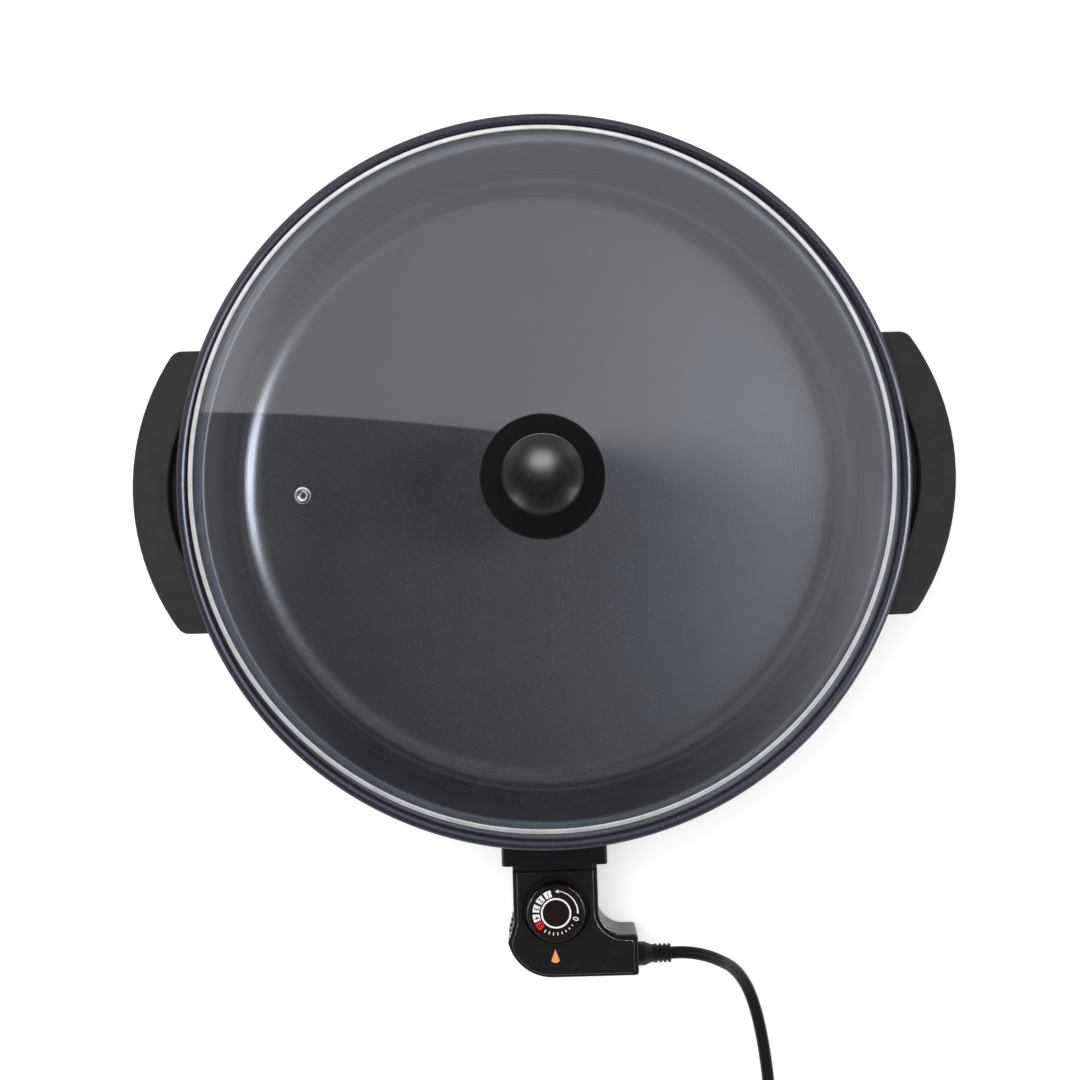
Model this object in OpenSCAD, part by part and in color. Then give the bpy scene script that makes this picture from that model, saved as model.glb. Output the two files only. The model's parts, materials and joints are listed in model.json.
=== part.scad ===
// Round electric skillet with a lift-off glass lid, a plug-in thermostat control and a mains lead.
// Millimetres. The table is z = 0, the control points towards -Y, the handles lie along X.
// The pan's axis is upright, at x = 0 and y = pan_y.

/* [Pan] */
// Diameter over the rolled rim
pan_d = 407; // [370:1:440]
// Depth from the rim's top to the cooking floor
pan_depth = 60; // [52:1:72]
// Thickness of the floor and the wall
pan_t = 3.4; // [2.6:0.1:4.5]
// Width of the rolled rim
bead_w = 6; // [5:0.1:8]
// Height of the rolled rim
bead_h = 9; // [7:0.5:12]
// Width of the ledge that carries the lid
ledge_w = 8; // [6:0.5:12]
// Drop from the rim's top to the ledge
ledge_drop = 5.5; // [4.5:0.1:6.5]
// Inside radius of the corner between the floor and the wall
corner_r = 20; // [12:1:28]
// Lean of the wall, in degrees
wall_lean = 7; // [3:0.5:11]
// Height of the base over the table
base_h = 34; // [31:1:44]

/* [Heating element] */
// Radius of the element's ring
element_r = 111; // [95:1:122]
// Diameter of the sheath
sheath_d = 7; // [6:0.1:8]
// Bend radius where the ring turns into its cold legs
element_bend_r = 14; // [11:1:20]
// Distance between the two terminal pins
pin_pitch = 24; // [22:0.5:26]
// Diameter of a terminal pin
pin_d = 4.8; // [4:0.1:5.4]
// Length of a terminal pin
pin_len = 25; // [20:0.5:27]
// Length of the ceramic bush on a pin
bush_len = 3; // [2:0.5:5]

/* [Probe] */
// Diameter of the probe tube
probe_d = 6.4; // [5:0.1:7.2]
// Wall of the socket round the probe
socket_t = 3.8; // [2.5:0.1:4.2]

/* [Guard] */
// Width of the guard
guard_w = 62.6; // [60:0.2:70]
// Height of the guard
guard_h = 32; // [30:0.5:34]
// Distance by which the guard stands out past the rim
guard_reach = 20.5; // [16:0.5:26]
// Wall thickness of the guard
guard_t = 4; // [3:0.1:4.5]
// Length of the guard's flange under the base
flange_len = 38; // [36:1:46]

/* [Handles] */
// Distance that a handle stands out past the rim
handle_reach = 26.5; // [24:0.5:34]
// Length of a handle
handle_len = 158; // [146:1:176]
// Thickness of the grip plate
grip_t = 12; // [8:0.5:16]
// Drop from the rolled rim to the grip plate
grip_drop = 1; // [0.5:0.5:5]
// Radius of the handle's outer edge
handle_r = 135.5; // [125:0.5:160]
// Gap for the fingers between the rim and the grip
finger_gap = 6.5; // [4:0.5:9]
// Radius of the finger recess
recess_r = 90; // [84:1:100]
// Thickness of the floor of the finger recess
recess_floor = 3; // [2:0.5:4]
// Length of a leg along the handle
leg_len = 25; // [20:1:27]
// Thickness of a lug on the pan
lug_t = 6; // [5:0.5:8]
// Diameter of a foot pad
foot_d = 11; // [8:0.5:11.5]
// Height of a foot pad
foot_h = 5; // [4:0.5:7]

/* [Lid] */
// Rise of the glass dome
dome_rise = 33; // [24:1:44]
// Thickness of the glass
glass_t = 3.6; // [3:0.1:4.5]
// Width of the steel band, as seen from above
band_w = 2.8; // [2.2:0.1:4]
// Thickness of the band's sheet
band_t = 0.7; // [0.5:0.1:0.9]
// Play of the lid between the rolled rim and its band
lid_play = 2.2; // [1:0.1:3]
// Direction in which the lid has slid on its ledge, in degrees
lid_slip_a = 128; // [0:1:360]
// Distance from the lid's centre to the vent
vent_r = 129; // [110:1:150]
// Direction of the vent, in degrees
vent_a = 182.6; // [90:0.1:270]
// Diameter of the vent eyelet
vent_d = 10; // [8:0.1:12]
// Diameter of the vent hole
vent_hole_d = 2.8; // [2:0.1:4]

/* [Knob] */
// Diameter of the skirt
skirt_d = 66.6; // [56:0.2:76]
// Height of the skirt over the glass
skirt_h = 5; // [4:0.5:8]
// Diameter of the knob's top
knob_d = 41.6; // [36:0.2:48]
// Height of the whole knob over the glass
knob_h = 37; // [33:0.5:44]
// Rise of the knob's rounded top
knob_crown = 7; // [4:0.5:10]
// Diameter of the knob's neck
neck_d = 24; // [20:0.5:28]
// Diameter of the lid screw
lid_screw_d = 5; // [4:0.5:6]

/* [Control] */
// Width of the control's neck
control_w = 50.4; // [49:0.2:56]
// Length of the control, from the guard to its front
control_len = 66.2; // [65:0.1:72]
// Reach of the cord arm to the right
arm_reach = 48.3; // [47:0.1:56]
// Width of the cord arm
arm_w = 24.3; // [22:0.1:25]
// Depth of the lower shell
control_base_h = 17; // [16:0.5:18]
// Height of the cover
control_cover_h = 14; // [13.5:0.5:18]
// Wall thickness of the shells
shell_t = 2.2; // [1.8:0.1:2.6]
// Width of the step round the cover's top
cover_step = 2.3; // [1.6:0.1:2.8]
// Gap between the guard and the control
mouth_gap = 1.5; // [1:0.1:3]
// Length of the nose that enters the guard
nose_len = 17; // [14:0.5:18]

/* [Dial] */
// Diameter of the dial
dial_d = 34; // [30:0.1:36]
// Height of the dial over the cover
dial_rise = 8; // [5:0.1:11]
// Diameter of the well round the dial
well_d = 39; // [38:0.1:41]
// Depth of the well
well_depth = 3; // [2:0.1:3.5]
// Diameter of the dial's printed face
face_d = 31; // [26:0.1:31]
// Diameter of the spindle
spindle_d = 6; // [5:0.1:7]
// Distance from the control's back to the dial's axis
dial_g = 25; // [24.5:0.1:26]
// Turn of the dial between its end stops, in degrees
dial_sweep = 306; // [240:1:330]
// Pitch of the spindle's thread
thread_pitch = 0.9; // [0.5:0.05:1]

/* [Pilot lamp] */
// Length of the lens
lens_len = 8; // [7:0.1:8.4]
// Width of the lens
lens_w = 5.2; // [4:0.1:6]
// Diameter of the lamp
lamp_d = 5.2; // [4:0.1:5.4]

/* [Cord] */
// Width of the flat cord
cord_w = 7.4; // [7:0.1:7.8]
// Thickness of the flat cord
cord_t = 4.4; // [4:0.1:4.8]
// Diameter of the boot at the control
boot_d = 14; // [12:0.2:15]
// Diameter of the boot at its end
boot_end_d = 11; // [9:0.2:11.4]
// Length of the boot outside the control
boot_len = 20; // [18:0.5:24]
// Width of the plug
plug_w = 26; // [24:0.5:30]
// Length of the plug's body
plug_len = 27; // [22:0.5:34]

/* [Fits] */
// Running clearance of a turning or sliding shaft, on the radius
run_gap = 0.06; // [0.02:0.01:0.1]
// Clearance of a piece in its seat
fit_gap = 0.1; // [0.05:0.01:0.15]
// Clearance between pieces that come apart
part_gap = 0.3; // [0.25:0.05:0.4]
// Diameter of the small screws
screw_d = 4; // [3:0.1:4.2]

/* [Hidden] */
$fn = 96;
eps = 0.5; // how far a cut runs past the face that it opens

// the whole object is centred on x = 0, y = 0, so the pan's axis stands back from there
rim_r = pan_d / 2;
guard_front = rim_r + guard_reach;
control_back = guard_front + mouth_gap;
front_reach = control_back + control_len;
pan_y = (front_reach - rim_r) / 2;

// ---- pan ----
floor_z = base_h + pan_t;
rim_z = floor_z + pan_depth;
ledge_z = rim_z - ledge_drop;
ledge_out_r = rim_r - bead_w;
ledge_in_r = ledge_out_r - ledge_w;
corner_z = floor_z + corner_r;
corner_end_z = corner_z - corner_r * sin(wall_lean);
floor_r = ledge_in_r - (ledge_z - corner_end_z) * tan(wall_lean) - corner_r * cos(wall_lean);
function wall_in(z) = floor_r + corner_r * cos(wall_lean) + (z - corner_end_z) * tan(wall_lean);
function wall_out(z) = wall_in(z) + pan_t / cos(wall_lean);

// ---- element, pins and probe, all on one height ----
pin_x = pin_pitch / 2;
groove_depth = sheath_d / 2 + 2.5;
pin_z = base_h - groove_depth;
rib_w = sheath_d + 8;
bend_x = pin_x + element_bend_r;
bend_d = element_r + element_bend_r;
bend_a = asin(bend_x / bend_d);
socket_back = element_r + rib_w / 2 + 5;
socket_front = floor_r - 1;
probe_end = socket_back + 3;
bore_end = socket_back + 1.5;

// ---- guard ----
guard_rear = wall_out(pin_z + guard_h / 2) + 4;
guard_bottom = pin_z - guard_h / 2;
mouth_w = guard_w - 2 * guard_t - 5;
mouth_h = guard_h - 2 * guard_t;
flange_t = 4;
flange_top = pin_z - sheath_d / 2 - 4.5;
boss_f = guard_rear - flange_len + 10;
boss_x = pin_pitch;
boss_r = screw_d / 2 + 3;
pin_end = guard_front - 3;
sheath_end = pin_end - pin_len;

// ---- handles ----
grip_z = rim_z - bead_h - grip_drop;
grip_under = grip_z - grip_t;
handle_out = rim_r + handle_reach;
handle_cx = handle_out - handle_r;
handle_end_a = asin(handle_len / 2 / handle_r);
lug_x = rim_r - 14;
lug_y = handle_len / 2 - 12;
lug_w = 16;
lug_end = 8;
leg_x = lug_x + lug_end + 1;
leg_bottom = 2;
leg_y = handle_len / 2 - leg_len;
foot_x = leg_x + foot_d / 2 + 2;
foot_y = leg_y + foot_d / 2 + 6;
head_h = 3;

// ---- lid ----
lid_slip = lid_play - part_gap - fit_gap;
lid_x = lid_slip * cos(lid_slip_a);
lid_y = pan_y + lid_slip * sin(lid_slip_a);
band_r = ledge_out_r - lid_play;
band_in_r = band_r - band_w;
band_z = ledge_z + part_gap;
glass_r = band_r - band_t - fit_gap;
dome_r = (glass_r * glass_r + dome_rise * dome_rise) / (2 * dome_rise);
glass_low = band_z + band_t + fit_gap;
dome_z = glass_low + dome_rise - dome_r;
function dome_top(r) = dome_z + sqrt(pow(dome_r + glass_t, 2) - r * r);
function dome_under(r) = dome_z + sqrt(dome_r * dome_r - r * r);
band_top = dome_top(band_in_r) + fit_gap + band_t;
glass_hole_r = lid_screw_d / 2 + 1.5;
vent_tube_r = vent_d / 2 - 1.5;
vent_tilt = asin(vent_r / (dome_r + glass_t));

// ---- knob ----
apex = dome_top(0);
skirt_r = skirt_d / 2;
skirt_edge_z = dome_top(skirt_r) + fit_gap;
skirt_top = apex + skirt_h;
knob_r = knob_d / 2;
knob_top = apex + knob_h;
knob_edge_z = knob_top - knob_crown;
neck_r = neck_d / 2;
insert_r = lid_screw_d / 2 + 2;
insert_h = 14;
gasket_t = 1.5;
washer_t = 1.2;
washer_r = 9;
washer_z = dome_under(washer_r) - gasket_t - washer_t;

// ---- control ----
control_top = pin_z + control_cover_h;
control_bottom = pin_z - control_base_h;
nose_w = mouth_w - 2 * part_gap - 1;
nose_h = mouth_h - 2 * part_gap - 1;
arm_g = control_len - arm_w;
well_z = control_top - well_depth;
cover_room = well_z - shell_t - pin_z;
step_h = well_depth;
screw_boss_r = screw_d / 2 + 1.6;
screw_foot_r = screw_d + 1.1; // the wider foot round the screw's head
head_sink = 1; // a screw's head lies this deep in its foot
// screws of the cover: [right, in front of the back]
SCREW_SPOTS = [[-control_w / 2 + 6.3, 14.5], [control_w / 2 - 6.3, 14.5],
    [arm_reach - 18.3, arm_g + 6.4], [-control_w / 2 + 7.2, control_len - 15.2]];

// ---- dial, switch and lamp ----
dial_bottom = well_z + part_gap;
dial_top = control_top + dial_rise;
face_t = 0.6;
spindle_r = spindle_d / 2;
spindle_top = dial_top - 4;
spindle_bottom = pin_z - 1;
clip_t = 0.8;
clip_z = pin_z + cover_room - clip_t - 0.4;
wire_r = 1.2;
frame_wire_gap = 0.8;
frame_w = 2 * (pin_x - wire_r - frame_wire_gap);
frame_len = 21;
frame_t = 1.5;
frame_z = pin_z + 3;
stud_r = 2;
stud_travel = thread_pitch * dial_sweep / 360;
stud_len = 7;
stud_top = spindle_bottom - part_gap;
guide_z = stud_top - 4;
blade_w = 8;
blade_t = 0.6;
moving_z = stud_top - stud_len - stud_travel - part_gap - blade_t;
fixed_z = moving_z - 3.6;
blade_back = dial_g - 9;
blade_len = 30;
contact_r = 1.6;
contact_h = 1.2;
block_g = 4;
block_len = 5;
sleeve_r = pin_d / 2 + 1.2;
lens_g = arm_g + 6.5;
lamp_g = lens_g + lens_len / 2 + 1;
lamp_len = 12;
lens_x = -1;
lens_flange = 1;
lens_flange_t = 1.8;

// ---- cord: boot, route, coil and plug ----
boot_g = control_len - 9.7;
boot_x = arm_reach + boot_len;
boot_neck_r = 5;
boot_inner = 4.8; // how far the boot reaches into the arm
WIRE_G = [boot_g + 3, boot_g - 2.5];
wire_bend_r = 5;
tie_t = 0.7;
tie_w = 8;
on_table = cord_t / 2 + 0.1; // height of the cord's middle where it lies on the table
on_tie = cord_t / 2 + tie_t + 0.2; // and where the strap lies under it
// the route from the boot to the coil: right of the pan's axis, in front of it, over the table
ROUTE = [[68.3, 282, 28], [76, 282, 28], [84, 283.2, 27.3], [92, 286, 24.9], [99.4, 290.3, 20.5],
    [106, 295.8, 13.6], [111.6, 302.4, 8], [116.2, 310, 4.6], [119.8, 318.6, on_table + 0.3],
    [122.6, 328.2, on_table], [124.8, 338.8, on_table], [126.6, 350, on_table], [128, 362, on_table],
    [129.1, 375, on_table + 0.2], [129.8, 389, on_tie - 0.2], [130, 404, on_tie], [130, 420, on_tie]];
layer_step = cord_t + 0.6;
turn_step = cord_w + 0.6;
coil_turns = 3.25;
coil_mid_r = 38;
coil_out_r = coil_mid_r + turn_step * coil_turns / 4;
coil_start = ROUTE[len(ROUTE) - 1];
lead_in = 7.4;
lead_out = 30;
coil_x = coil_start[0] - coil_out_r;
coil_f = coil_start[1] + lead_in;
coil_z = coil_start[2];
LOOP_RINGS = 24;
CORD_SIDES = 8;
LOOP_SIDES = 6;
plug_z = coil_z + layer_step;
plug_x = coil_x - lead_out;
relief_len = 14;
blade_reach = 16;
blade_pitch = 12.7;

// ---- helpers ----
module at_pan(z = 0) { translate([0, pan_y, z]) children(); }
module at_lid(z = 0) { translate([lid_x, lid_y, z]) children(); }
// a place at distance f in front of the pan's axis
module ahead(f, x = 0, z = 0) { translate([x, pan_y - f, z]) children(); }
// a place in the control, at distance g from its back
module in_control(g = 0, x = 0, z = 0) { ahead(control_back + g, x, z) children(); }
// a rod that starts here and points to the front
module rod(r, length, r2 = 0) {
    rotate([90, 0, 0]) cylinder(r1 = r, r2 = r2 > 0 ? r2 : r, h = length);
}
// a block centred across, that starts here and runs to the front
module block(w, length, h) { translate([-w / 2, -length, 0]) cube([w, length, h]); }
module on_both_sides(x) { for (side = [-1, 1]) translate([side * x, 0, 0]) children(); }
module turned(profile, facets = 96) { rotate_extrude($fn = facets) polygon(profile); }
// a screw whose head is below and whose shank points up
module screw(d, length) {
    translate([0, 0, -head_h]) cylinder(d = 2 * d, h = head_h);
    cylinder(d = d, h = length);
}

function unit(v) = v / norm(v);
function flat(p) = [p[0], p[1]];
function arc(cx, cy, r, from, to, n = 8) =
    [for (k = [0:n]) let (a = from + (to - from) * k / n) [cx + r * cos(a), cy + r * sin(a)]];
// a polygon whose corners [x, y, r] are rounded to the radius r
function rounded(p) = [for (i = [0:len(p) - 1])
    let (b = flat(p[i]), r = p[i][2],
        u = unit(flat(p[(i + len(p) - 1) % len(p)]) - b), v = unit(flat(p[(i + 1) % len(p)]) - b))
    each r == 0 ? [b] : round_corner(b, u, v, r, max(4, round(0.8 * r)))];
function round_corner(b, u, v, r, n) =
    let (half = acos(u * v) / 2, c = b + unit(u + v) * r / sin(half),
        p = b + u * r / tan(half) - c, q = b + v * r / tan(half) - c,
        from = atan2(p[1], p[0]), turn = atan2(q[1], q[0]) - from)
    arc(c[0], c[1], r, from, from + (turn > 180 ? turn - 360 : turn < -180 ? turn + 360 : turn), n);
// a rounded rectangle centred on the origin
function pane(w, h, r) = rounded([for (corner = [[-1, -1], [1, -1], [1, 1], [-1, 1]])
    [corner[0] * w / 2, corner[1] * h / 2, r]]);
// an upright rounded pane that starts here and runs to the front
module bar(w, h, r, length) { rotate([90, 0, 0]) linear_extrude(length) polygon(pane(w, h, r)); }

// one tube through a list of centres; the cord lies flat, its wide way level
function heading(p, i) = unit(i == 0 ? p[1] - p[0] : i == len(p) - 1 ? p[i] - p[i - 1]
    : unit(p[i] - p[i - 1]) + unit(p[i + 1] - p[i]));
function ring_at(c, d, sides) =
    let (across = unit([d[1], -d[0], 0]), up = cross(across, d),
        first = sides == LOOP_SIDES ? 0 : 180 / sides, tall = sides == LOOP_SIDES ? sin(60) : cos(first))
    [for (k = [0:sides - 1]) let (a = first + 360 * k / sides)
        c + across * (cord_w / 2 * cos(a) / cos(first)) + up * (cord_t / 2 * sin(a) / tall)];
function rings_of(p, sides) = [for (i = [0:len(p) - 1]) ring_at(p[i], heading(p, i), sides)];
module tube(p, sides) {
    last = (len(p) - 1) * sides;
    polyhedron([for (ring = rings_of(p, sides)) each ring], [
        [for (k = [0:sides - 1]) k],
        for (i = [0:len(p) - 2], k = [0:sides - 1])
            let (a = i * sides + k, b = i * sides + (k + 1) % sides)
                each [[a, a + sides, b], [b, a + sides, b + sides]],
        [for (k = [sides - 1:-1:0]) last + k]]);
}
// from [right, in front, up] to the part's own axes
function placed(p) = [p[0], pan_y - p[1], p[2]];

// ---- pan and what is fixed to it ----
module pan() {
    lip_r = bead_w / 2;
    bead_low = rim_z - bead_h;
    nose_r = 1.5; // rounding of the ledge's inner edge
    lug_z = grip_under - lug_t;
    lug_root = 32; // how far a lug reaches in from its screw
    profile = concat(
        [[0, base_h]],
        arc(floor_r, corner_z, corner_r + pan_t, -90, -wall_lean, 10),
        [[wall_out(bead_low), bead_low], [rim_r - 1, bead_low], [rim_r, bead_low + 1]],
        arc(rim_r - lip_r, rim_z - lip_r, lip_r, 0, 180, 10),
        [[ledge_out_r, ledge_z]],
        arc(ledge_in_r + nose_r, ledge_z - nose_r, nose_r, 90, 180 - wall_lean, 4),
        arc(floor_r, corner_z, corner_r, -wall_lean, -90, 10),
        [[0, floor_z]]);
    color([0.17, 0.17, 0.2]) at_pan() difference() {
        union() {
            turned(profile, 180);
            // rib that holds the element
            translate([0, 0, pin_z]) difference() {
                cylinder(r = element_r + rib_w / 2, h = groove_depth + eps);
                translate([0, 0, -eps]) cylinder(r = element_r - rib_w / 2, h = groove_depth + 3 * eps);
            }
            // lugs for the handles, outside the middle of the wall
            difference() {
                for (sx = [-1, 1], sy = [-1, 1])
                    translate([sx * (lug_x + (lug_end - lug_root) / 2), sy * lug_y, lug_z + lug_t / 2])
                        cube([lug_root + lug_end, lug_w, lug_t], center = true);
                translate([0, 0, lug_z - 1]) cylinder(r = wall_in(lug_z) + pan_t / 2, h = lug_t + 2);
            }
            // bosses for the guard
            on_both_sides(boss_x) translate([0, -boss_f, flange_top])
                cylinder(r = boss_r, h = base_h - flange_top + 1);
        }
        // groove for the element, and the way out for its two legs
        translate([0, 0, pin_z]) rotate_extrude() translate([element_r, 0])
            circle(r = sheath_d / 2 + fit_gap, $fn = 48);
        translate([0, -element_r + rib_w, pin_z - eps])
            block(2 * (bend_d * sin(bend_a) + sheath_d), 2 * rib_w, groove_depth + eps);
        for (sx = [-1, 1], sy = [-1, 1]) translate([sx * lug_x, sy * lug_y, lug_z - 1])
            cylinder(r = screw_d / 2 + fit_gap, h = lug_t + 2, $fn = 32);
        on_both_sides(boss_x) translate([0, -boss_f, flange_top - 1])
            cylinder(r = screw_d / 2 + fit_gap, h = 11, $fn = 32);
    }
}

module heating_element() {
    leg_y = bend_d * cos(bend_a);
    bend_r = sheath_d / 2 - 0.1; // the sheath is drawn a little thinner round its bends
    color([0.42, 0.42, 0.44]) at_pan(pin_z) {
        union() {
            // the ring, open at the front
            rotate([0, 0, -90 + bend_a]) rotate_extrude(angle = 360 - 2 * bend_a)
                translate([element_r, 0]) circle(d = sheath_d, $fn = 48);
            for (side = [0, 1]) mirror([side, 0, 0]) {
                translate([bend_x, -leg_y, 0]) rotate([0, 0, 89 + bend_a]) rotate_extrude(angle = 92 - bend_a)
                    translate([element_bend_r, 0]) circle(r = bend_r, $fn = 48);
                translate([pin_x, -leg_y, 0]) rod(sheath_d / 2, sheath_end - leg_y);
            }
        }
    }
}

module terminal_pins() {
    color([0.75, 0.74, 0.7]) on_both_sides(pin_x) ahead(sheath_end, 0, pin_z) {
        rod(pin_d / 2, pin_len - 1);
        translate([0, 1 - pin_len, 0]) rod(pin_d / 2, 1, pin_d / 2 - 0.8);
    }
}

module terminal_bushes() {
    color([0.9, 0.88, 0.83]) on_both_sides(pin_x) ahead(sheath_end, 0, pin_z) difference() {
        rod(sheath_d / 2, bush_len);
        translate([0, 1, 0]) rod(pin_d / 2 + run_gap, bush_len + 2);
    }
}

module probe_socket() {
    low = probe_d / 2 + socket_t - 1.5;
    color([0.55, 0.56, 0.58]) difference() {
        ahead(socket_back, 0, pin_z - low)
            block(probe_d + 2 * socket_t, socket_front - socket_back, low + groove_depth);
        ahead(bore_end, 0, pin_z) rod(probe_d / 2 + run_gap, socket_front - bore_end + 1);
    }
}

module socket_guard() {
    depth = guard_front - guard_rear;
    color([0.11, 0.11, 0.115]) difference() {
        union() {
            ahead(guard_rear, 0, pin_z) bar(guard_w, guard_h, 3, depth);
            // flange under the base, screwed to the two bosses
            ahead(guard_rear - flange_len, 0, flange_top - flange_t)
                block(2 * (boss_x + 7), flange_len + 1, flange_t);
        }
        ahead(guard_rear + guard_t, 0, pin_z) bar(mouth_w, mouth_h, 2, depth);
        ahead(guard_rear - 1, 0, pin_z) rod(probe_d / 2 + 1, guard_t + 2);
        on_both_sides(pin_x) ahead(guard_rear - 1, 0, pin_z) rod(sheath_d / 2 + part_gap, guard_t + 2);
        on_both_sides(boss_x) ahead(boss_f, 0, flange_top - flange_t - 1)
            cylinder(r = screw_d / 2 + fit_gap, h = flange_t + 2, $fn = 32);
    }
}

module guard_screws() {
    color([0.7, 0.7, 0.7]) on_both_sides(boss_x) ahead(boss_f, 0, flange_top - flange_t)
        screw(screw_d, flange_t + 9);
}

// one moulding: a grip plate with a finger recess, and a leg at each end
module handle(side) {
    corner_x = handle_cx + handle_r * cos(handle_end_a);
    reach = [for (k = [-10:10]) let (a = k * (handle_end_a - 4) / 10)
        [handle_cx + handle_r * cos(a), handle_r * sin(a), 0]];
    outline = rounded(concat([[handle_cx, -handle_len / 2, 0], [corner_x, -handle_len / 2, 8]], reach,
        [[corner_x, handle_len / 2, 8], [handle_cx, handle_len / 2, 0]]));
    color([0.2, 0.2, 0.2]) at_pan() mirror([side < 0 ? 1 : 0, 0, 0]) difference() {
        translate([0, 0, leg_bottom]) linear_extrude(grip_z - leg_bottom) polygon(outline);
        // the pan's own wall, and the recess for the fingers
        cylinder(r = wall_out(grip_z) + part_gap, h = rim_z);
        translate([rim_r + finger_gap - recess_r, 0, grip_under + recess_floor])
            cylinder(r = recess_r, h = rim_z, $fn = 240);
        // below the plate only the two legs are left
        translate([handle_cx - 1, -handle_len, 0]) cube([leg_x - handle_cx + 1, 2 * handle_len, grip_under]);
        translate([handle_cx, -leg_y, 0]) cube([handle_r + 2, 2 * leg_y, grip_under]);
        for (sy = [-1, 1]) {
            translate([lug_x, sy * lug_y, grip_under - 1])
                cylinder(r = screw_d / 2 + fit_gap, h = grip_t - 2, $fn = 32);
            translate([foot_x, sy * foot_y, 0]) cylinder(r = foot_d / 2 + fit_gap, h = foot_h);
        }
    }
}
module handle_left() { handle(-1); }
module handle_right() { handle(1); }

module handle_screws() {
    color([0.7, 0.7, 0.7]) at_pan(grip_under - lug_t) for (sx = [-1, 1], sy = [-1, 1])
        translate([sx * lug_x, sy * lug_y, 0]) screw(screw_d, lug_t + grip_t - 5);
}

module foot_pads() {
    color([0.06, 0.06, 0.06]) at_pan() for (sx = [-1, 1], sy = [-1, 1])
        translate([sx * foot_x, sy * foot_y, 0]) cylinder(d = foot_d, h = foot_h);
}

// ---- lid ----
module lid_glass() {
    edge_a = asin(glass_r / (dome_r + glass_t));
    under_a = asin(glass_r / dome_r);
    color([0.75, 0.85, 0.88, 0.35]) difference() {
        at_lid(dome_z) turned(concat(
            arc(0, 0, dome_r, 90, 90 - under_a, 20), arc(0, 0, dome_r + glass_t, 90 - edge_a, 90, 20)), 180);
        at_lid(glass_low) cylinder(r = glass_hole_r, h = dome_rise + 2 * glass_t);
        vent_place() translate([0, 0, -glass_t]) cylinder(r = vent_tube_r + fit_gap, h = 3 * glass_t);
    }
}

// on the glass's underside, square to the dome
module vent_place() {
    at_lid(dome_z) rotate([0, 0, vent_a]) rotate([0, vent_tilt, 0]) translate([0, 0, dome_r]) children();
}

module lid_band() {
    color([0.82, 0.82, 0.82]) at_lid() turned([
        [band_in_r, band_z], [band_r, band_z], [band_r, band_top], [band_in_r, band_top],
        [band_in_r, band_top - band_t], [band_r - band_t, band_top - band_t],
        [band_r - band_t, band_z + band_t], [band_in_r, band_z + band_t]], 180);
}

module vent_eyelet() {
    t = 0.8; // thickness of its two flanges
    r = vent_d / 2;
    hole_r = vent_hole_d / 2;
    seat = glass_t + fit_gap / 2;
    color([0.75, 0.75, 0.75]) vent_place() turned([
        [hole_r, -t - fit_gap], [r - t / 2, -t - fit_gap], [r - t / 2, -fit_gap], [vent_tube_r, -fit_gap],
        [vent_tube_r, seat], [r, seat], [r, glass_t + t / 2], [r - t, glass_t + t],
        [hole_r + t / 2, glass_t + t], [hole_r, glass_t + t / 2]], 48);
}

module knob_skirt() {
    hole_r = lid_screw_d / 2 + fit_gap;
    color([0.07, 0.07, 0.07]) at_lid() turned(concat(
        [[hole_r, apex + fit_gap], [neck_r + 2, apex + fit_gap], [neck_r + 3, apex + skirt_h - 3],
            [skirt_r - 3, skirt_edge_z + 1.2], [skirt_r - 2, skirt_edge_z], [skirt_r, skirt_edge_z]],
        arc(skirt_r - 1.5, skirt_edge_z + 1.8, 1.5, 0, 80, 4),
        [[neck_r + 2, skirt_top], [hole_r, skirt_top]]));
}

module knob_grip() {
    lip_z = knob_edge_z - 3;
    waist_z = skirt_top + 8;
    flare = knob_r - neck_r;
    hole_top = skirt_top + insert_h + 1;
    crown_r = (knob_r * knob_r + knob_crown * knob_crown) / (2 * knob_crown);
    crown_a = asin((knob_r - 1) / crown_r);
    color([0.09, 0.09, 0.09]) at_lid() turned(concat(
        [[insert_r + fit_gap, skirt_top], [neck_r, skirt_top], [neck_r - 1, skirt_top + 6]],
        arc(knob_r, waist_z, flare, 180, 100, 8),
        [[knob_r, lip_z], [knob_r, knob_edge_z - 0.5]],
        arc(0, knob_top - crown_r, crown_r, 90 - crown_a, 90, 10),
        [[0, hole_top], [insert_r + fit_gap, hole_top]]));
}

module knob_insert() {
    color([0.78, 0.62, 0.3]) at_lid(skirt_top) difference() {
        cylinder(r = insert_r, h = insert_h);
        translate([0, 0, -1]) cylinder(r = lid_screw_d / 2 + run_gap, h = insert_h - 1);
    }
}

module knob_screw() {
    color([0.75, 0.75, 0.75]) at_lid(washer_z) screw(lid_screw_d, skirt_top + insert_h - 4 - washer_z);
}

module knob_washer() {
    color([0.78, 0.78, 0.78]) at_lid(washer_z) difference() {
        cylinder(r = washer_r, h = washer_t);
        translate([0, 0, -1]) cylinder(r = lid_screw_d / 2 + fit_gap, h = washer_t + 2);
    }
}

module knob_gasket() {
    color([0.8, 0.35, 0.2]) at_lid(washer_z + washer_t) difference() {
        union() {
            cylinder(r = washer_r, h = gasket_t - fit_gap);
            // a collar that keeps the screw off the glass
            cylinder(r = glass_hole_r - fit_gap, h = gasket_t + glass_t - 0.6);
        }
        translate([0, 0, -1]) cylinder(r = lid_screw_d / 2 + fit_gap, h = gasket_t + glass_t + 2);
    }
}

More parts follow.
